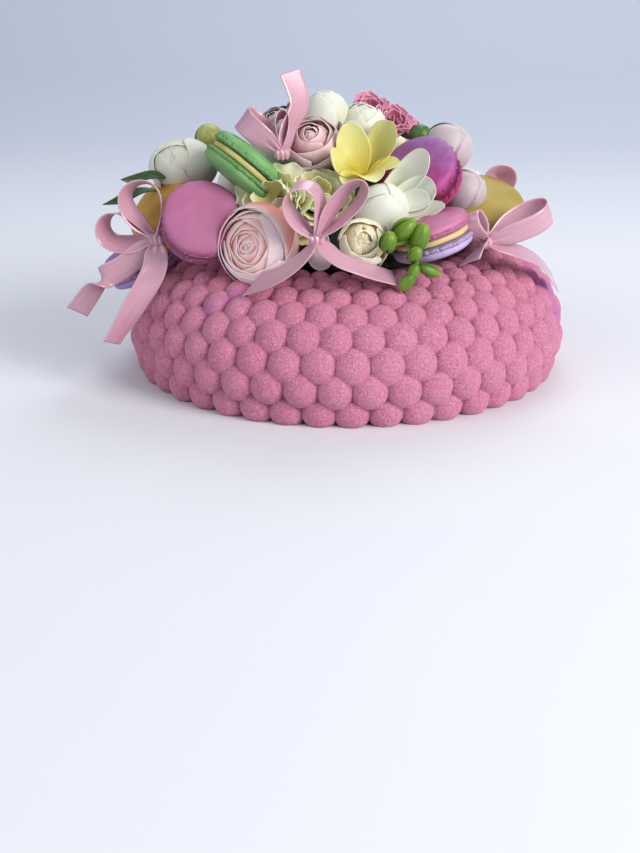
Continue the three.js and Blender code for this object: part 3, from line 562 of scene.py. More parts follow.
def wrappedPetals(spec, seed):
    p = {**wrapForm, **spec}
    draw = np.random.default_rng(seed)
    count, radius = p["petals"], p["radius"]
    one = (count, 1, 1)
    s = ((np.arange(count) + 0.5) / count).reshape(one)
    v = 1 - (1 - np.linspace(0, 1, p["rows"])[None, :, None]) ** 1.5
    u = np.linspace(-1, 1, p["cols"])[None, None, :]
    around = radians(p["turnFirst"]) + np.arange(count).reshape(one) * radians(137.5) + draw.normal(0, 0.12,
                                                                                                    one)
    closing = p["closedHeart"] + (p["closedRim"] - p["closedHeart"]) * s ** p["openLate"]
    closing = closing + p["lean"] * s * np.cos(around - radians(p["leanTo"])) + draw.normal(0, 2.5, one)
    start = radians(p["from"])
    end = np.radians(closing) - radians(p["corner"]) * (0.3 + 0.7 * s) * np.abs(u) ** 3
    bend = start + (end - start) * v
    shell = radius * (p["heart"] + (1 - p["heart"]) * s ** p["spacing"]) * (1 + draw.normal(0, 0.015, one))
    shell = shell * (1 + p["tuck"] * u)
    deep = radius * (p["deepHeart"] + (p["deepRim"] - p["deepHeart"]) * s)
    phases = draw.uniform(0, 2 * np.pi, (3, *one))
    waves = sum(share * np.sin(k * p["ripples"] * u + phase)
                for share, k, phase in zip((1, 0.6, 0.35), (1, 2.1, 4.3), phases))
    push = radius * p["ripple"] * (0.35 + 0.65 * s) * v ** p["rippleLate"] * waves
    push = push + radius * p["flare"] * s * smoothStep(0.6, 1, v)
    wide = radians(p["wideHeart"]) + radians(p["wideRim"] - p["wideHeart"]) * s
    side = around + u * wide * (p["claw"] + (1 - p["claw"]) * np.sin(np.clip(v / 0.6, 0, 1) * np.pi / 2))
    out = (shell + push) * np.sin(bend)
    up = p["base"] * radius - (deep + push) * np.cos(bend)
    points = ringPoints(out, up, side) * np.array(p["stretch"])
    return placed(points, p["at"], p["turned"], p["lifted"]), np.broadcast_to(s, points.shape[:3])


# petals from a start to an end: the half width rises as a sine to its widest place and rounds off to the
# tip, the middle line arches as sin(pi v) towards the face, and every cross-section is an arc of the
# given cup
petalForm = {
    "wide": 12, "arch": -0.1, "curl": 0, "cup": 0.7, "flatter": 0.35, "widest": 0.6, "claw": 0.3,
    "blunt": 2.3,
    "ruffle": 0.0,
}


def freePetals(table, seed, rows=25, cols=21):
    draw = np.random.default_rng(seed)
    each = {key: np.array([petal.get(key, value) for petal in table], float)[:, None, None]
            for key, value in petalForm.items()}
    start, end, face = (np.array([petal[key] for petal in table], float)[:, None, None]
                        for key in ("start", "end", "face"))
    long = np.linalg.norm(end - start, axis=-1, keepdims=True)
    ahead = (end - start) / long
    face = unit(face - (face * ahead).sum(-1, keepdims=True) * ahead)
    side = np.cross(ahead, face)
    v = np.sin(np.linspace(0, 1, rows) * np.pi / 2)[None, :, None]
    u = np.linspace(-1, 1, cols)[None, None, :]
    widest = each["widest"]
    rise = each["claw"] + (1 - each["claw"]) * np.sin(np.clip(v / widest, 0, 1) * np.pi / 2)
    fall = np.sqrt(np.maximum(1 - np.clip((v - widest) / (1 - widest), 0, 1) ** each["blunt"], 0))
    half = each["wide"] / 2 * np.where(v < widest, rise, fall)
    cup = each["cup"] * (1 - each["flatter"] * v)
    phase = draw.uniform(0, 2 * np.pi, (len(table), 1, 1))
    wave = np.sin(9 * v + phase + u) + 0.6 * np.sin(19 * v + 2 * phase - u)
    wave = each["ruffle"] * np.abs(u) ** 2 * wave
    wide = (half / cup * np.sin(u * cup))[..., None]
    hollow = (half / cup * (1 - np.cos(u * cup)))[..., None]
    lift = (each["arch"] * np.sin(np.pi * v) + each["curl"] * v ** 4 + wave)[..., None] * long + hollow
    points = start + ahead * long * v[..., None] + side * wide + face * lift
    return points, np.ones(points.shape[:3])


# six petals round a funnel, alternately of the outer and the inner ring; lengths are shares of the radius
funnelForm = {
    "reach": 0.86, "rim": 0.52, "wide": 0.92, "throat": 0.12, "foot": -1.0, "arch": -0.17, "cup": 0.75,
    "curl": -0.04, "widest": 0.68, "innerRing": 0.93, "turnFirst": 15,
}


def funnelPetals(spec, seed):
    p = {**funnelForm, **spec}
    radius = p["radius"]
    draw = np.random.default_rng(seed)
    table = []
    for k in range(6):
        angle = radians(60 * k + p["turnFirst"]) + draw.normal(0, 0.08)
        outward = np.array([np.cos(angle), np.sin(angle), 0])
        reach = p["reach"] * (1 + draw.normal(0, 0.05)) * (p["innerRing"] if k % 2 else 1)
        table.append(dict({key: p[key] for key in ("arch", "cup", "curl", "widest")},
                          wide=p["wide"] * radius,
                          start=radius * (p["throat"] * outward + [0, 0, p["foot"]]),
                          end=radius * (reach * outward + [0, 0, p["rim"] * (1 + draw.normal(0, 0.08))]),
                          face=[0, 0, 0.35] - outward))
    points, layer = freePetals(table, seed)
    return placed(points, p["at"], p["turned"], p["lifted"]), layer


# grids of petals as one mesh, with where each point lies: layer from heart to rim, along from claw to
# tip, across
def petalMesh(name, sets):
    points, quads, values, uvs, start = [], [], {"layer": [], "along": [], "across": []}, [], 0
    for grids, layer in sets:
        count, rows, cols = grids.shape[:3]
        one = gridQuads(rows, cols)
        quads.append((one[None] + start + (np.arange(count) * rows * cols)[:, None, None]).reshape(-1, 4))
        points.append(grids.reshape(-1, 3))
        start += len(points[-1])
        along = np.broadcast_to(np.linspace(0, 1, rows)[None, :, None], (count, rows, cols))
        across = np.broadcast_to(np.linspace(-1, 1, cols)[None, None, :], (count, rows, cols))
        values["layer"].append(layer.ravel())
        values["along"].append(along.ravel())
        values["across"].append(np.abs(across).ravel())
        uvs.append(np.stack([across * 0.5 + np.arange(count)[:, None, None] * 1.7, along], -1).reshape(-1,
                                                                                                       2))
    values = {key: np.concatenate(value) for key, value in values.items()}
    return meshFrom(name, np.concatenate(points), [np.concatenate(quads)], values, np.concatenate(uvs))


# petals: inner layers run from a deep colour, painted shade down in the flower, to their rim, and outer ones
# from their claw over the body to the rim; colours holds deep, inner, rim, claw and outer
def petalFinish(name, colours, veins=0.12, spots=None, roughness=0.5, light=0.75, paleHeart=0.0):
    deep, inner, rim, claw, outer = colours.split()
    f = Finish(name, {"Roughness": roughness, "Subsurface Weight": light,
                      "Subsurface Radius": (0.004, 0.0028, 0.0024), "Sheen Weight": 0.12})
    along, across, layer = f.attribute("along"), f.attribute("across"), f.attribute("layer")
    fine = f.noise(1.0, 2, 0.5, where=f.coords.outputs["UV"], stretch=(34, 2.2, 1))
    patches = f.noise(110, 3, 0.5)
    level = f.shifted(along, patches, 0.3)
    # painted shade: inner layers darken to the deep colour towards their claws
    inside = f.ramp(level, (0.45, deep), (0.78, inner), (0.99, rim))
    outside = f.ramp(level, (0.1, claw), (0.5, outer), (0.98, rim))
    colour = f.mix(f.spread(layer, 0.55, 0.85), inside, outside)
    colour = f.mix(f.spread(layer, 0.1, 0.18, paleHeart, 0.0), colour, outer)
    if spots:
        flecks = f.times(f.spread(f.noise(430, 2, 0.6), 0.61, 0.66), f.spread(layer, 0.35, 0.6, 1.0, 0.0))
        colour = f.mix(flecks, colour, spots)
    colour = f.mix(f.spread(fine, 0.38, 0.62, veins, 0.0), colour, claw)
    # painted highlight: the rim colour is laid along the petals' edges
    edge = f.maths("MAXIMUM", f.spread(along, 0.965, 1.0), f.spread(across, 0.95, 1.0))
    colour = f.mix(f.times(edge, 0.35), colour, rim)
    f.feed("Base Color", colour)
    f.bumps((fine, 0.3, 0.3), (patches, 0.25, 0.5), (f.noise(900, 2, 0.5), 0.12, 0.08))
    return f.material


# the first colour of each look is the painted shade deep inside its flower
petalLooks = {
    "pink petals": dict(colours="d8604e f2ada2 f8e2e0 eec0c4 f6e4ea", paleHeart=0.85),
    "soft pink petals": dict(colours="c98078 dbb2ae e9d2d4 d8aab0 dec2c8", paleHeart=0.6),
    "pale pink petals": dict(colours="ab8088 bda2a9 cbc0c2 b08f9c c2b2b8"),
    "cream petals": dict(colours="e8dc9c f0eac6 f2eedc e6dfb8 f0ecd8", spots="6d4a1c", light=0.85),
    "white petals": dict(colours="c8cc9a dfe1cf e6e6da d0d4b2 dedfd4", veins=0.16),
    "ruffled petals": dict(colours="e2e09a eeecc2 f2f1da e4e0a0 f0eed2", veins=0.08, light=0.9),
    "yellow petals": dict(colours="cbb020 d8d46c e6e5b4 cdb926 dcda8a"),
    "dark pink petals": dict(colours="c26c8a d98aa8 eab0c6 cc7896 dc96b2", roughness=0.6),
}
finishes = {name.replace(" ", "_"): petalFinish(name, **look) for name, look in petalLooks.items()}

rose = dict(form=wrappedPetals)
bud = dict(form=wrappedPetals, petals=11, heart=0.8, deepHeart=1.02, deepRim=1.08, base=-0.1,
           closedHeart=205, closedRim=172, flare=0.0, ripple=0.006, corner=26, wideHeart=88, wideRim=66,
           tuck=0.055, **{"from": 8})
ruffled = dict(form=wrappedPetals, petals=8, heart=0.42, deepHeart=0.45, deepRim=0.7, base=-0.1,
               closedHeart=118, closedRim=84, flare=0.26, ripple=0.1, ripples=4.2, rippleLate=2.0,
               corner=10, wideHeart=84, wideRim=62, tuck=0.05, cols=61, rows=25)
frilled = dict(ruffled, petals=8, ripple=0.12, ripples=4.4, flare=0.18, closedRim=92)
guard = dict(form=wrappedPetals, petals=4, heart=0.97, deepHeart=0.74, deepRim=0.76, closedHeart=126,
             closedRim=116, wideHeart=72, wideRim=66, corner=34, tuck=0.03, flare=0.02)
funnel = dict(form=funnelPetals)


# a part of a flower from its preset: radius and place in millimetres, and the direction it faces
def flower(preset, radius, at, turned, lifted, **more):
    return dict(preset, radius=radius, at=at, turned=turned, lifted=lifted, **more)


# each flower's parts; a part is wrapped petals, a funnel or free petals from point to point
blooms = {
    "bloom_pink_front": ("pink_petals", [
        flower(rose, 20.6, (-45.5, -68.5, 80.5), -26, 9, petals=25, heart=0.26, lean=9, leanTo=-60,
               closedRim=124, wideRim=60, ripple=0.014, flare=0.0, corner=17, tuck=0.03),
        flower(guard, 21, (-45, -68, 81), -20, 10, petals=5, lean=0, closedRim=121, turnFirst=-100,
               flare=0.0)]),
    "bloom_cream_small": ("cream_petals", [
        flower(rose, 13.5, (8, -76, 85), 0, 20, petals=9, heart=0.4, ripple=0.06, ripples=3, tuck=0.06,
               closedHeart=208, closedRim=118, corner=12, deepHeart=0.5, flare=0.1, lean=16, leanTo=200,
               wideRim=72, cols=37)]),
    "bloom_pink_top": ("pink_petals", [
        flower(rose, 17, (-18, -32, 126), -14, 48, petals=15, ripple=0.045, ripples=2.6, closedRim=104,
               flare=0.08, lean=14, leanTo=-120, wideRim=70, deepHeart=0.5, corner=18)]),
    "bloom_white_left": ("white_petals", [
        flower(bud, 17, (-87, -14, 111), -20, 32, petals=10, heart=0.7, closedHeart=205, closedRim=146,
               lean=20, leanTo=-60, deepHeart=0.8, deepRim=0.86, stretch=(1.16, 0.88, 0.9), flare=0.03,
               corner=20)]),
    "bloom_pink_behind": ("pale_pink_petals", [
        flower(rose, 13, (-37, -5, 132), -60, 55, petals=12, closedRim=120, ripple=0.03)]),
    "bloom_ruffled": ("ruffled_petals", [
        flower(ruffled, 18, (-37, -59, 103), -20, 36, turnFirst=20),
        flower(ruffled, 16, (-14, -55, 105), 12, 40, turnFirst=100),
        flower(ruffled, 15, (-22, -63, 94), -5, 24, turnFirst=200, petals=6)]),
    "bloom_frilled": ("dark_pink_petals", [
        flower(frilled, 10.5, (13, 5, 139), 10, 55),
        flower(frilled, 9.5, (25, 2, 134), 30, 45, turnFirst=60),
        flower(frilled, 10, (33, 8, 130), 60, 50, turnFirst=140),
        flower(frilled, 9.5, (20, 16, 133), 150, 50, turnFirst=140)]),
    "freesia_yellow": ("yellow_petals", [
        dict(form=freePetals, table=[
            dict(start=(7, -46, 112), end=(0, -38, 137), face=(0.1, -0.8, 0.3), wide=19, arch=-0.16,
                 curl=0.07, cup=0.8, blunt=1.8, widest=0.52, ruffle=0.01),
            dict(start=(9, -44, 112), end=(22, -33, 137), face=(-0.6, -0.8, 0.5), wide=22, arch=-0.17,
                 curl=0.04, cup=1.3, blunt=2.4, widest=0.6, ruffle=0.01),
            dict(start=(6, -48, 112), end=(-10, -52, 124), face=(0.6, -0.4, 0.6), wide=16, arch=-0.2,
                 cup=1.0, curl=0.12),
            dict(start=(8, -48, 112), end=(14, -63, 113), face=(0, -0.3, 1), wide=17, arch=0.08, cup=0.95,
                 curl=-0.06, widest=0.55),
            dict(start=(10, -46, 112), end=(27, -48, 118), face=(-0.2, -0.3, 1), wide=15, arch=0.04,
                 cup=0.9, curl=0.05),
            dict(start=(7, -48, 112), end=(-1, -59, 109), face=(0.2, -0.3, 1), wide=15, arch=0.06,
                 cup=0.9)])]),
    "freesia_white_open": ("white_petals", [
        flower(bud, 14, (17.5, -61.5, 97), 20, 48, petals=9, heart=0.9, closedRim=178, deepRim=1.15,
               flare=0.01, corner=10, tuck=0.03),
        dict(form=freePetals, table=[
            dict(start=(16, -58, 101), end=(41, -50, 123), face=(-0.5, -0.8, 0.6), wide=20, arch=-0.12,
                 cup=1.0, curl=0.12, widest=0.55),
            dict(start=(18, -61, 99), end=(44, -59, 109), face=(-0.3, -0.8, 0.5), wide=20, arch=-0.13,
                 cup=1.1, widest=0.62, curl=0.05),
            dict(start=(20, -63, 98), end=(41, -64, 104), face=(-0.1, -0.9, 0.3), wide=15, arch=-0.14,
                 cup=1.0, widest=0.6),
            dict(start=(21, -61, 95), end=(49, -60, 100), face=(-0.1, -0.6, 0.9), wide=14, arch=-0.1,
                 cup=0.9, blunt=1.5, widest=0.5)])]),
    "freesia_white_top_left": ("white_petals", [
        flower(bud, 13.5, (-11, -12, 136), -10, 78, petals=8, closedRim=150, stretch=(0.95, 0.95, 1.08))]),
    "freesia_white_top_right": ("white_petals", [
        flower(bud, 13.5, (8, -12, 130), 14, 66, petals=8, closedRim=136, corner=30, ripple=0.02,
               flare=0.06)]),
    "bloom_back_pink": ("pink_petals", [flower(rose, 21, (-14, 68, 86), 190, 25, petals=26, lean=16,
                                               leanTo=-60)]),
    "bloom_back_white": ("white_petals", [flower(rose, 18, (-60, 46, 90), 235, 25, petals=18,
                                                 closedRim=130)]),
    "bloom_back_right": ("pink_petals", [flower(rose, 19, (70, 26, 86), 112, 22, petals=24, ripple=0.03)]),
    "bloom_back_ruffled": ("ruffled_petals", [
        flower(ruffled, 21, (8, 42, 110), 175, 45, petals=16, heart=0.18, deepHeart=0.2, deepRim=0.6,
               closedHeart=190, closedRim=96, ripple=0.06)]),
    "freesia_back_white": ("white_petals", [flower(funnel, 19, (-36, 32, 112), 215, 50)]),
    "freesia_back_yellow": ("yellow_petals", [flower(funnel, 18, (46, 36, 108), 130, 40)]),
    "bud_pink_upper": ("pale_pink_petals", [flower(bud, 13.5, (53, -10, 120), 50, 40)]),
    "bud_pink_lower": ("pale_pink_petals", [flower(bud, 12, (61, -26, 100), 50, 35)]),
    "bud_green_left": ("green_buds", [flower(bud, 7.5, (-74, 2, 123), -70, 60, petals=5)]),
    "bud_green_right": ("green_buds", [flower(bud, 6, (39, -8, 126), 40, 50, petals=5)]),
    "bud_back_green": ("green_buds", [flower(bud, 7, (-30, 12, 124), 225, 60, petals=5)]),
}


# buds: four colours from foot to end, with darker streaks along them
def budFinish(name, colours):
    base, middle, tip, end, streak = colours.split()
    f = Finish(name, {"Roughness": 0.38, "Subsurface Weight": 0.12,
                      "Subsurface Radius": (0.0015, 0.002, 0.0008)})
    streaks = f.noise(1.0, 3, 0.5, where=f.coords.outputs["UV"], stretch=(14, 1.6, 1))
    level = f.shifted(f.attribute("along"), streaks, 0.3)
    colour = f.ramp(level, (0.0, base), (0.45, middle), (0.8, tip), (1.0, end))
    f.feed("Base Color", f.mix(f.spread(streaks, 0.35, 0.6, 0.4, 0.0), colour, streak))
    f.bumps((streaks, 0.4, 0.3), (f.noise(800, 2, 0.5), 0.2, 0.1))
    return f.material


finishes["green_buds"] = budFinish("green buds", "456c10 688c1c 86a82e 5c821c 3a5c0e")
finishes["young_bud"] = budFinish("young bud", "8f9440 aeb05c c3c27c a3a552 7f8a3a")
finishes["dark_bud"] = budFinish("dark bud", "2c5420 3d6a2c 547f3a 37602a 27481c")
# blooms whose finish isn't the one their slot usually has
unlike = {"bloom_pink_top": "soft_pink_petals", "bud_green_left": "young_bud",
          "bud_green_right": "dark_bud"}


# the petals of each part of a flower, by the part's own form
def flowerSets(parts, seed):
    return [part["form"](part["table"] if part["form"] is freePetals else part, seed + number)
            for number, part in enumerate(parts)]


for number, (name, (slot, parts)) in enumerate(blooms.items()):
    mesh = petalMesh(name, flowerSets(parts, 40 + 7 * number))
    addPiece(f"petals_{name}", mesh, finishes[unlike.get(name, slot)], name, thickness=0.3)
print("the flowers are open")


# the spray of buds

spray = {
    "at": (30, -84, 84), "stalk": 1.0,
    "buds": [((-11, -4, -2), (-9, -5, 9), 4.4), ((-8, 1, 4), (3, 2, 13), 5.2),
             ((3, 1, -2), (8, 0, 12), 5.0),
             ((1, -3, -7), (5, -4, 1), 3.5), ((4, -3, -7), (2, -5, -14), 2.9),
             ((3, -5, -12), (-4, -6, -20), 3.3),
             ((5, -2, -9), (16, 1, -14), 3.0)],
    "stalks": [[(-10, 8, 0), (0, 1, 1), (4, -2, -5), (2, -5, -14)], [(-10, -4, 1), (-3, 2, 2), (6, 1, 3)]],
}
sprayBud = dict(bud, petals=4, base=0, rows=13, cols=13, wideHeart=90)


# a smooth line through a few points, as a centripetal Catmull-Rom spline, in steps that are even along
# its knots
def smoothLine(through, steps):
    p = np.asarray(through, float)
    p = np.concatenate([[2 * p[0] - p[1]], p, [2 * p[-1] - p[-2]]])
    spans = len(p) - 3
    t = np.linspace(0, spans, steps + 1)
    k = np.minimum(t.astype(int), spans - 1)
    w = (t - k)[:, None]
    gaps = np.sqrt(np.linalg.norm(np.diff(p, axis=0), axis=1))
    d0, d1, d2 = gaps[k][:, None], gaps[k + 1][:, None], gaps[k + 2][:, None]
    p0, p1, p2, p3 = p[k], p[k + 1], p[k + 2], p[k + 3]
    m1 = d1 * ((p1 - p0) / d0 - (p2 - p0) / (d0 + d1) + (p2 - p1) / d1)
    m2 = d1 * ((p2 - p1) / d1 - (p3 - p1) / (d1 + d2) + (p3 - p2) / d2)
    a, b = 2 * p1 - 2 * p2 + m1 + m2, -3 * p1 + 3 * p2 - 2 * m1 - m2
    return ((a * w + b) * w + m1) * w + p1


# a round tube along a line: rings of points at radius round each point, in a frame carried without twist
def tube(line, radius, sides=10):
    along = unit(np.gradient(line, axis=0))
    helper = np.array([0.31, 0.12, 0.94])
    a = unit(np.cross(along, helper))
    b = np.cross(along, a)
    angle = np.linspace(0, 2 * np.pi, sides, endpoint=False)
    size = np.broadcast_to(np.asarray(radius, float), (len(line),))[:, None, None]
    ring = a[:, None] * np.cos(angle)[None, :, None] + b[:, None] * np.sin(angle)[None, :, None]
    return line[:, None] + size * ring


# how a part must be turned and lifted to face along a direction
def aimed(direction):
    x, y, z = direction / np.linalg.norm(direction)
    return np.degrees(np.arctan2(x, -y)), np.degrees(np.arcsin(z))


# buds of wrapped petals between their ends, and stalks as tubes along smooth lines
def sprayParts():
    sets = []
    for number, (start, end, radius) in enumerate(spray["buds"]):
        start, end = np.array(start, float), np.array(end, float)
        turned, lifted = aimed(end - start)
        long = np.linalg.norm(end - start) / 2 / radius
        spec = dict(sprayBud, radius=radius, at=spray["at"] + (start + end) / 2, turned=turned,
                    lifted=lifted,
                    deepHeart=long, deepRim=long)
        sets.append(wrappedPetals(spec, 90 + number))
    for through in spray["stalks"]:
        ring = tube(smoothLine(through, 24) + np.array(spray["at"]), spray["stalk"])
        grid = np.concatenate([ring, ring[:, :1]], 1)[None, :, ::-1]
        sets.append((grid, np.ones(grid.shape[:3])))
    return sets


mesh = petalMesh("spray", sprayParts())
addPiece("freesia_bud_spray", mesh, finishes["green_buds"], "spray_of_buds", thickness=0.3)
print("the buds are closed")


# leaves, stems and the loose petal

leaves = {
    "leaf_left_upper": dict(long=24, wide=9, bend=-0.1, at=(-95, -24, 106), turned=0, lifted=65, rolled=85),
    "leaf_left_lower": dict(long=28, wide=8, bend=-0.15, at=(-99, -34, 101), turned=10, lifted=70,
                            rolled=98),
}
leafColours = {"dark": "1d3a1b", "mid": "2f5226", "light": "4b7034"}
# dome holds shares of the radius and of the rise over the fullest place
mound = {
    "radius": 62, "bottom": 62.5, "top": 112, "fullest": 82, "swell": 0.03, "foot": 0.8,
    "dome": [(0, 1), (0.5, 0.86), (0.86, 0.5), (1, 0)], "rough": 1.6, "roughSize": 9, "middle": 75.0,
}
moundLeaf = {"long": 44, "wide": 17, "bend": -0.16, "inside": 14}
moundLeafRows = [
    dict(count=7, first=100, last=262, radius=54, height=80, lifted=18),
    dict(count=6, first=88, last=268, radius=40, height=98, lifted=48),
    dict(count=3, first=110, last=250, radius=16, height=108, lifted=76),
]


# a leaf from its stalk along +Y: half width goes as sin(pi * share), the sides fold up, and the blade
# bends and waves
def leafPoints(long, wide, bend, seed=0, rows=25, cols=13):
    v = np.linspace(0, 1, rows)[:, None]
    u = np.linspace(-1, 1, cols)[None, :]
    half = wide / 2 * np.sin(np.pi * (0.02 + 0.975 * v)) ** 0.8
    rise = bend * v ** 2 * long + 0.05 * long * np.sin(2 * np.pi * v)
    fold = 0.25 * np.abs(u) ** 1.3 * half + 0.012 * long * np.sin(9 * v + seed + u) * np.abs(u)
    veins = 0.014 * wide * np.cos(26 * v - 9 * np.abs(u)) * np.abs(u) * (1 - np.abs(u))
    return np.stack(np.broadcast_arrays(u * half, v * long, rise + fold + veins), -1)


# leaves: side veins where cos(26 along - 9 across) is high, and a middle rib, both lighter and raised
def leafFinish():
    f = Finish("leaves", {"Roughness": 0.45, "Subsurface Weight": 0.05})
    along, across = f.attribute("along"), f.attribute("across")
    slant = f.maths("SUBTRACT", f.times(along, 26.0), f.times(across, 9.0))
    vein = f.spread(f.maths("COSINE", slant), 0.8, 1.0)
    veins = f.maths("MAXIMUM", vein, f.spread(across, 0.0, 0.09, 1.0, 0.0))
    patches = f.noise(120, 3, 0.6)
    colour = f.mix(f.spread(patches, 0.3, 0.7), leafColours["dark"], leafColours["mid"])
    f.feed("Base Color", f.mix(f.times(veins, 0.5), colour, leafColours["light"]))
    f.bumps((veins, 0.4, 0.2), (patches, 0.3, 0.3))
    return f.material


finishes["leaf"] = leafFinish()
for number, (name, spec) in enumerate(leaves.items()):
    grid = leafPoints(spec["long"], spec["wide"], spec["bend"], number)[None]
    grid = placed(grid, spec["at"], spec["turned"], spec["lifted"], spec["rolled"])
    mesh = petalMesh(name, [(grid, np.zeros(grid.shape[:3]))])
    addPiece(f"{name}_blade", mesh, finishes["leaf"], name, thickness=0.5)


# the mound's own core: a low dome whose profile follows the solid's, roughened like packed stems
def moundCore():
    m = mound
    rise = m["top"] - m["fullest"]
    dome = [(share, m["fullest"] + height * rise) for share, height in m["dome"]]
    profile = np.array(dome + [(m["foot"], m["bottom"]), (0, m["bottom"])])
    t = np.linspace(0, len(profile) - 1, 60)
    reach = np.interp(t, np.arange(len(profile)), profile[:, 0]) * m["radius"]
    up = np.interp(t, np.arange(len(profile)), profile[:, 1])
    angle = np.linspace(0, 2 * np.pi, 160, endpoint=False)
    r = reach[1:-1, None] * (1 + m["swell"] * np.cos(5 * angle + 1))[None]
    points = ringPoints(r, up[1:-1, None], angle)
    rough = m["rough"] * wobble(points, m["roughSize"], 5)
    points = points + rough[..., None] * unit(points - np.array([0, 0, m["middle"]]))
    points[..., 2] = np.maximum(points[..., 2], m["bottom"])
    return cappedRings(points, (0, 0, m["top"]), (0, 0, m["bottom"]))


# packed stems: greens along a strongly distorted noise, which also raises them
def stemFinish():
    f = Finish("packed stems", {"Roughness": 0.7})
    strands = f.noise(260, 4, 0.6, distortion=2.5)
    f.feed("Base Color", f.ramp(strands, (0.3, "16210f"), (0.5, "2f4420"), (0.75, "54702f")))
    f.bumps((strands, 1.0, 1.2),)
    return f.material


addPiece("stems_core", meshFrom("stems_core", *moundCore()), stemFinish(), "stems")
grids = []
for row in moundLeafRows:
    for turned in np.linspace(row["first"], row["last"], row["count"]).tolist():
        outward = facing(turned, row["lifted"])
        level = facing(turned, 0) * row["radius"]
        root = level + [0, 0, row["height"]] - moundLeaf["inside"] * outward
        grid = leafPoints(moundLeaf["long"], moundLeaf["wide"], moundLeaf["bend"], len(grids))
        grids.append(placed(grid, root, turned + 180, 90 - row["lifted"]))
grids = np.stack(grids)
mesh = petalMesh("mound_leaves", [(grids, np.zeros(grids.shape[:3]))])
addPiece("stems_leaves", mesh, finishes["leaf"], "stems", thickness=0.5)

loosePetal = dict(start=(-12, -76, 88), end=(-14, -86, 73), face=(0.1, -1, 0.1), wide=13, arch=-0.12,
                  cup=0.9,
                  widest=0.62, claw=0.4)
mesh = petalMesh("loose_petal", [freePetals([loosePetal], 5)])
addPiece("loose_petal", mesh, finishes["pale_pink_petals"], "petal_loose",
         thickness=0.5)
print("the leaves are in")


# the satin bows

ribbon = {"width": 12.5, "thickness": 0.45, "opening": 0.02, "across": 11, "loopSteps": 72, "tailSteps": 60}
knot = {"across": 8, "deep": 6, "tall": 7}
bows = {
    "bow_front": dict(
        at=(-15, -89, 89),
        loops=[dict(tip=(-9, -4, 27), side=(-1, 0, 0), half=8, twist=(-35, 35)),
               dict(tip=(22, -3, 28), side=(1, 0, -1), half=4.4, twist=(10, 42))],
        tails=[dict(through=[(0, 0, 0), (-8, -5, -9), (-20, -2, -18), (-32, 6, -24)],
                    across=[(0.3, 1, 0.5), (-0.25, 0.9, 0.4)], cut=-0.9),
               dict(through=[(0, 0, 0), (10, -5, -8), (20, -4, -12.5), (39, 6, -21)],
                    across=[(-0.3, 1, 0.8), (0.1, 1, 0.2)])]),
    "bow_right": dict(
        at=(70, -56, 80),
        loops=[dict(tip=(33, 10, 15), side=(-0.2, 1, 0.3), half=7, twist=(0, 0)),
               dict(tip=(-10, -8, 15), side=(0.3, 1, 0.3), half=5, twist=(0, 0))],
        tails=[dict(through=[(0, 0, 0), (14, 2, -4), (29, 16, -13), (42, 34, -30)],
                    across=[(0, 1, 0.3), (0, 1, 0.2)]),
               dict(through=[(0, 0, 0), (-5, -8, -3), (-9, -18, -6)], across=[(1, 0, 1), (1, 0.2, 0.6)])]),
    "bow_top": dict(
        at=(-33, -48, 123.5),
        loops=[dict(tip=(-20, 4, 18), side=(0.3, 1, -0.2), half=7, twist=(0, 15)),
               dict(tip=(0, 11, 18), side=(1, 0, 0), half=3.5, twist=(0, 0))],
        tails=[dict(through=[(0, 0, 0), (3, 7, 11), (8.5, 12, 23), (4, 14, 39)],
                    across=[(0.4, 0.9, 0.1), (0.85, 0.5, 0)])]),
    "bow_behind": dict(
        at=(81, 3, 93),
        loops=[dict(tip=(1, -2, 13), side=(1, 0.2, 0), half=4.5, twist=(50, 50))],
        tails=[]),
    "bow_left": dict(
        at=(-98, -48, 79),
        loops=[dict(tip=(-9, 2, 29), side=(1, 0, 0), half=9, twist=(0, 40)),
               dict(tip=(-28, 5, 7), side=(0, 0, 1), half=8, twist=(0, 40))],
        tails=[dict(through=[(0, 0, 0), (-1, -8, -14), (-12, -12, -33), (-24, -12, -52)],
                    across=[(1, 0, 0.2), (0.85, 0.55, 0.35)]),
               dict(through=[(0, 0, 0), (-17, -1, -14), (-29, -1, -21), (-44, 4, -40)],
                    across=[(0, 0, 1), (0.9, 0, 0.4)])]),
}


# a ribbon: at each point of its line the width lies square to the line, towards the given direction, and
# the strip is gathered where it enters the knot, with a slight hollow across and waves along its edges
def ribbonStrip(line, ways, gather, seed, cut=0.0):
    r = ribbon
    along = unit(np.gradient(line, axis=0))
    across = unit(ways - (ways * along).sum(-1, keepdims=True) * along)
    out = np.cross(along, across)
    step = np.linalg.norm(np.diff(line, axis=0), axis=1)
    run = np.concatenate([[0], np.cumsum(step)])
    u = np.linspace(-1, 1, r["across"])[None, :, None]
    width = r["width"] / 2 * (1 - 0.55 * gather)[:, None, None]
    pleat = 0.9 * gather[:, None, None] * np.cos(2.5 * np.pi * u)
    bend = 0.22 * np.sin(run / 7 + seed)[:, None, None] * u
    wave = bend + 0.25 * (1 - u ** 2) * np.sin(run / 11 + 2 * seed)[:, None, None]
    slanted = cut * smoothStep(0.7, 1, run / run[-1])[:, None, None] * r["width"] / 2
    points = line[:, None] + across[:, None] * u * width + out[:, None] * (pleat + wave)
    points = points + along[:, None] * u * slanted
    uv = np.stack(np.broadcast_arrays(u[..., 0] * 0.5 + 0.5, run[:, None] / r["width"]), -1)
    return points, uv, run[-1]


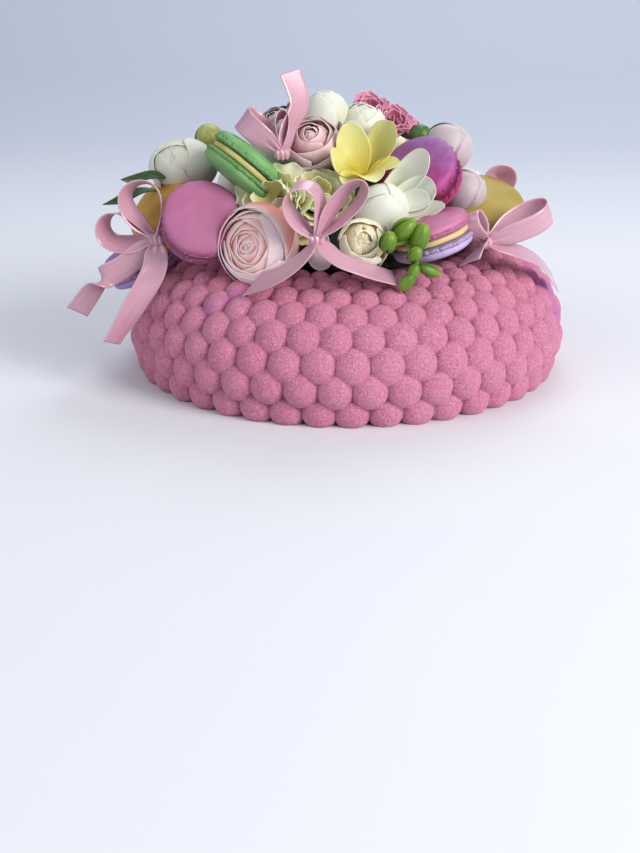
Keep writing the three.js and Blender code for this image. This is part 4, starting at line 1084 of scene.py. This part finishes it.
# half of a figure of eight: tip * sin(pi s) + side * half * sin(2 pi s)
def loopStrip(loop, seed):
    tip = np.array(loop["tip"], float)
    outward = unit(tip)
    side = np.array(loop["side"], float)
    side = unit(side - side @ outward * outward)
    normal = np.cross(outward, side)
    share = np.linspace(ribbon["opening"], 1 - ribbon["opening"], ribbon["loopSteps"] + 1)[:, None]
    line = tip * np.sin(np.pi * share) + side * loop["half"] * np.sin(2 * np.pi * share)
    along = tip * np.pi * np.cos(np.pi * share) + side * 2 * np.pi * loop["half"] * np.cos(2 * np.pi * share)
    along = unit(along)
    place = (share[:, 0] - ribbon["opening"]) / (1 - 2 * ribbon["opening"])
    lean = np.radians(loop["twist"][0] + (loop["twist"][1] - loop["twist"][0]) * place)[:, None]
    ways = (normal * np.cos(lean) + np.cross(along, normal) * np.sin(lean)
            + along * (along @ normal)[:, None] * (1 - np.cos(lean)))
    gather = np.exp(-(np.minimum(place, 1 - place) / 0.07) ** 2)
    return ribbonStrip(line, ways, gather, seed)


# a tail along its smooth line, whose width turns evenly from the first direction to the last
def tailStrip(tail, seed):
    line = smoothLine(tail["through"], ribbon["tailSteps"])
    place = np.linspace(0, 1, len(line))
    first, last = np.array(tail["across"][0], float), np.array(tail["across"][1], float)
    ways = first + (last - first) * place[:, None]
    return ribbonStrip(line, ways, np.exp(-(place / 0.1) ** 2), seed, tail.get("cut", 0.0))


# the knot: a pillow of ribbon wrapped round the bow, with ridges round it as a cosine along its length
def knotMesh(name, at):
    polar = np.linspace(0, np.pi, 31)[1:-1, None]
    angle = np.linspace(0, 2 * np.pi, 40, endpoint=False)[None, :]
    x = np.cos(polar) * np.ones_like(angle)
    ridge = 1 + 0.1 * np.cos(3.4 * np.pi * x + 1.2 * np.sin(angle)) + 0.05 * np.cos(2 * angle)
    reach = np.sin(polar) ** 0.5 * ridge
    points = np.stack([x * knot["across"] / 2, reach * np.cos(angle) * knot["deep"] / 2,
                       reach * np.sin(angle) * knot["tall"] / 2], -1)
    flat, faces = cappedRings(points, points[0].mean(0), points[-1].mean(0))
    uv = np.stack([flat[:, 0] / knot["across"] + 0.5, flat[:, 2] / knot["tall"]], -1)
    return meshFrom(name, flat + np.array(at), faces, None, uv)


# satin: threads along the ribbon, weft across it and a lighter selvedge, with the shine along the threads
def satinFinish():
    f = Finish("pink satin", {
        "Roughness": 0.3, "Anisotropic": 0.65, "Sheen Weight": 0.5, "Sheen Roughness": 0.35,
        "Sheen Tint": "f7dfe8", "Specular IOR Level": 1.0, "Subsurface Weight": 0.08,
        "Subsurface Radius": (0.002, 0.0014, 0.0014)})
    uv = f.coords.outputs["UV"]
    parts = f.node("ShaderNodeSeparateXYZ", {"Vector": uv})
    threads = f.noise(1.0, 2, 0.5, where=uv, stretch=(160, 3, 1))
    weft = f.noise(1.0, 1, 0.5, where=uv, stretch=(6, 220, 1))
    streaks = f.noise(1.0, 2, 0.5, where=uv, stretch=(9, 0.35, 1))
    across = f.maths("ABSOLUTE", f.maths("SUBTRACT", parts.outputs["X"], 0.5))
    selvedge = f.spread(across, 0.455, 0.475)
    colour = f.mix(f.spread(streaks, 0.3, 0.7), "c792a5", "d0a0b0")
    colour = f.mix(f.times(f.spread(threads, 0.35, 0.65), 0.04), colour, "a96f85")
    colour = f.mix(f.times(selvedge, 0.45), colour, "e0bdb8")
    f.feed("Base Color", colour)
    f.feed("Roughness", f.spread(threads, 0.3, 0.7, 0.2, 0.28))
    f.feed("Tangent", f.node("ShaderNodeTangent", direction_type="UV_MAP",
                             uv_map="UVMap").outputs["Tangent"])
    f.bumps((threads, 0.05, 0.03), (weft, 0.05, 0.03), (selvedge, 0.4, 0.15))
    return f.material


finishes["ribbon"] = satinFinish()
for number, (name, spec) in enumerate(bows.items()):
    strips = [loopStrip(loop, 3 * number + k) for k, loop in enumerate(spec["loops"])]
    strips += [tailStrip(tail, 3 * number + 2.4 + k) for k, tail in enumerate(spec["tails"])]
    points, quads, uvs, start = [], [], [], 0
    for grid, uv, _ in strips:
        points.append(grid.reshape(-1, 3) + np.array(spec["at"]))
        quads.append(gridQuads(*grid.shape[:2]) + start)
        uvs.append(uv.reshape(-1, 2))
        start += len(points[-1])
    mesh = meshFrom(f"{name}_ribbon", np.concatenate(points), [np.concatenate(quads)], None,
                    np.concatenate(uvs))
    piece = addPiece(f"{name}_ribbon", mesh, finishes["ribbon"], name,
                     thickness=ribbon["thickness"])
    tied = addPiece(f"{name}_knot", knotMesh(f"{name}_knot", spec["at"]), finishes["ribbon"], name)


# floor, light and camera

stage = {
    "floor": "e2e4ea", "floorLight": "e7e9ee", "wall": "bcc3d1", "side": 2200, "front": -1600,
    "bendAt": 700, "bend": 500, "wallTop": 1800, "air": "dfe4ee", "airLight": 0.45,
}
# places and sizes are in metres
lights = {
    "window": dict(at=(1.15, -1.0, 0.85), size=1.0, power=27, colour=(1.0, 0.985, 0.97)),
    "fill": dict(at=(-1.2, -0.7, 1.1), size=1.2, power=6, colour=(0.96, 0.98, 1.0)),
    "back light": dict(at=(0.2, 1.0, 1.2), size=1.0, power=9, colour=(0.94, 0.97, 1.0)),
}
lightsAim = (0, 0, 0.07)
# fitted to the photograph's frame of 640 x 853
view = {"at": (-0.0037, -0.8044, 0.2583), "down": 20.419, "turned": 0.768, "sensor": 36, "lens": 63.3}


# a flat floor, then a quarter turn by sine and cosine, then a wall
def makeFloor():
    s = stage
    t = np.linspace(0, 1, 28)
    depth = np.concatenate([[s["front"], s["bendAt"]], s["bendAt"] + s["bend"] * np.sin(t * np.pi / 2),
                            [s["bendAt"] + s["bend"]]])
    rise = np.concatenate([[0, 0], s["bend"] * (1 - np.cos(t * np.pi / 2)), [s["wallTop"]]])
    side = np.array([-s["side"], s["side"]])
    points = np.stack(np.broadcast_arrays(side[None, :], depth[:, None], rise[:, None]), -1)
    mesh = meshFrom("floor", points.reshape(-1, 3), [gridQuads(*points.shape[:2])])
    floor = bpy.data.objects.new("floor", mesh)
    bpy.context.scene.collection.objects.link(floor)
    f = Finish("plain paper", {"Roughness": 0.9})
    depth = f.node("ShaderNodeSeparateXYZ", {"Vector": f.coords.outputs["Object"]}).outputs["Y"]
    paper = f.mix(f.noise(3, 2, 0.5), s["floor"], s["floorLight"])
    f.feed("Base Color", f.mix(f.spread(depth, 0.25, 0.9), paper, s["wall"]))
    floor.data.materials.append(f.material)


# a round area light that looks from its place at the aim
def addLight(name, at, size, power, colour):
    data = bpy.data.lights.new(name, "AREA")
    data.shape, data.size, data.energy, data.color = "DISK", size, power, colour
    lamp = bpy.data.objects.new(name, data)
    bpy.context.scene.collection.objects.link(lamp)
    lamp.location = at
    lamp.rotation_euler = (Vector(lightsAim) - Vector(at)).to_track_quat("-Z", "Y").to_euler()


# the camera looks down from the level and is turned about the upright
def makeCamera():
    data = bpy.data.cameras.new("camera")
    data.sensor_width, data.lens = view["sensor"], view["lens"]
    data.clip_start, data.clip_end = 0.05, 20
    camera = bpy.data.objects.new("camera", data)
    bpy.context.scene.collection.objects.link(camera)
    camera.location = view["at"]
    camera.rotation_euler = (radians(90 - view["down"]), 0, radians(view["turned"]))
    bpy.context.scene.camera = camera


makeFloor()
for name, light in lights.items():
    addLight(name, **light)
world = bpy.data.worlds.new("studio")
world.use_nodes = True
world.node_tree.nodes["Background"].inputs["Color"].default_value = srgb(stage["air"])
world.node_tree.nodes["Background"].inputs["Strength"].default_value = stage["airLight"]
bpy.context.scene.world = world
bpy.context.scene.view_settings.view_transform = "Standard"
makeCamera()
print("the stage is lit")
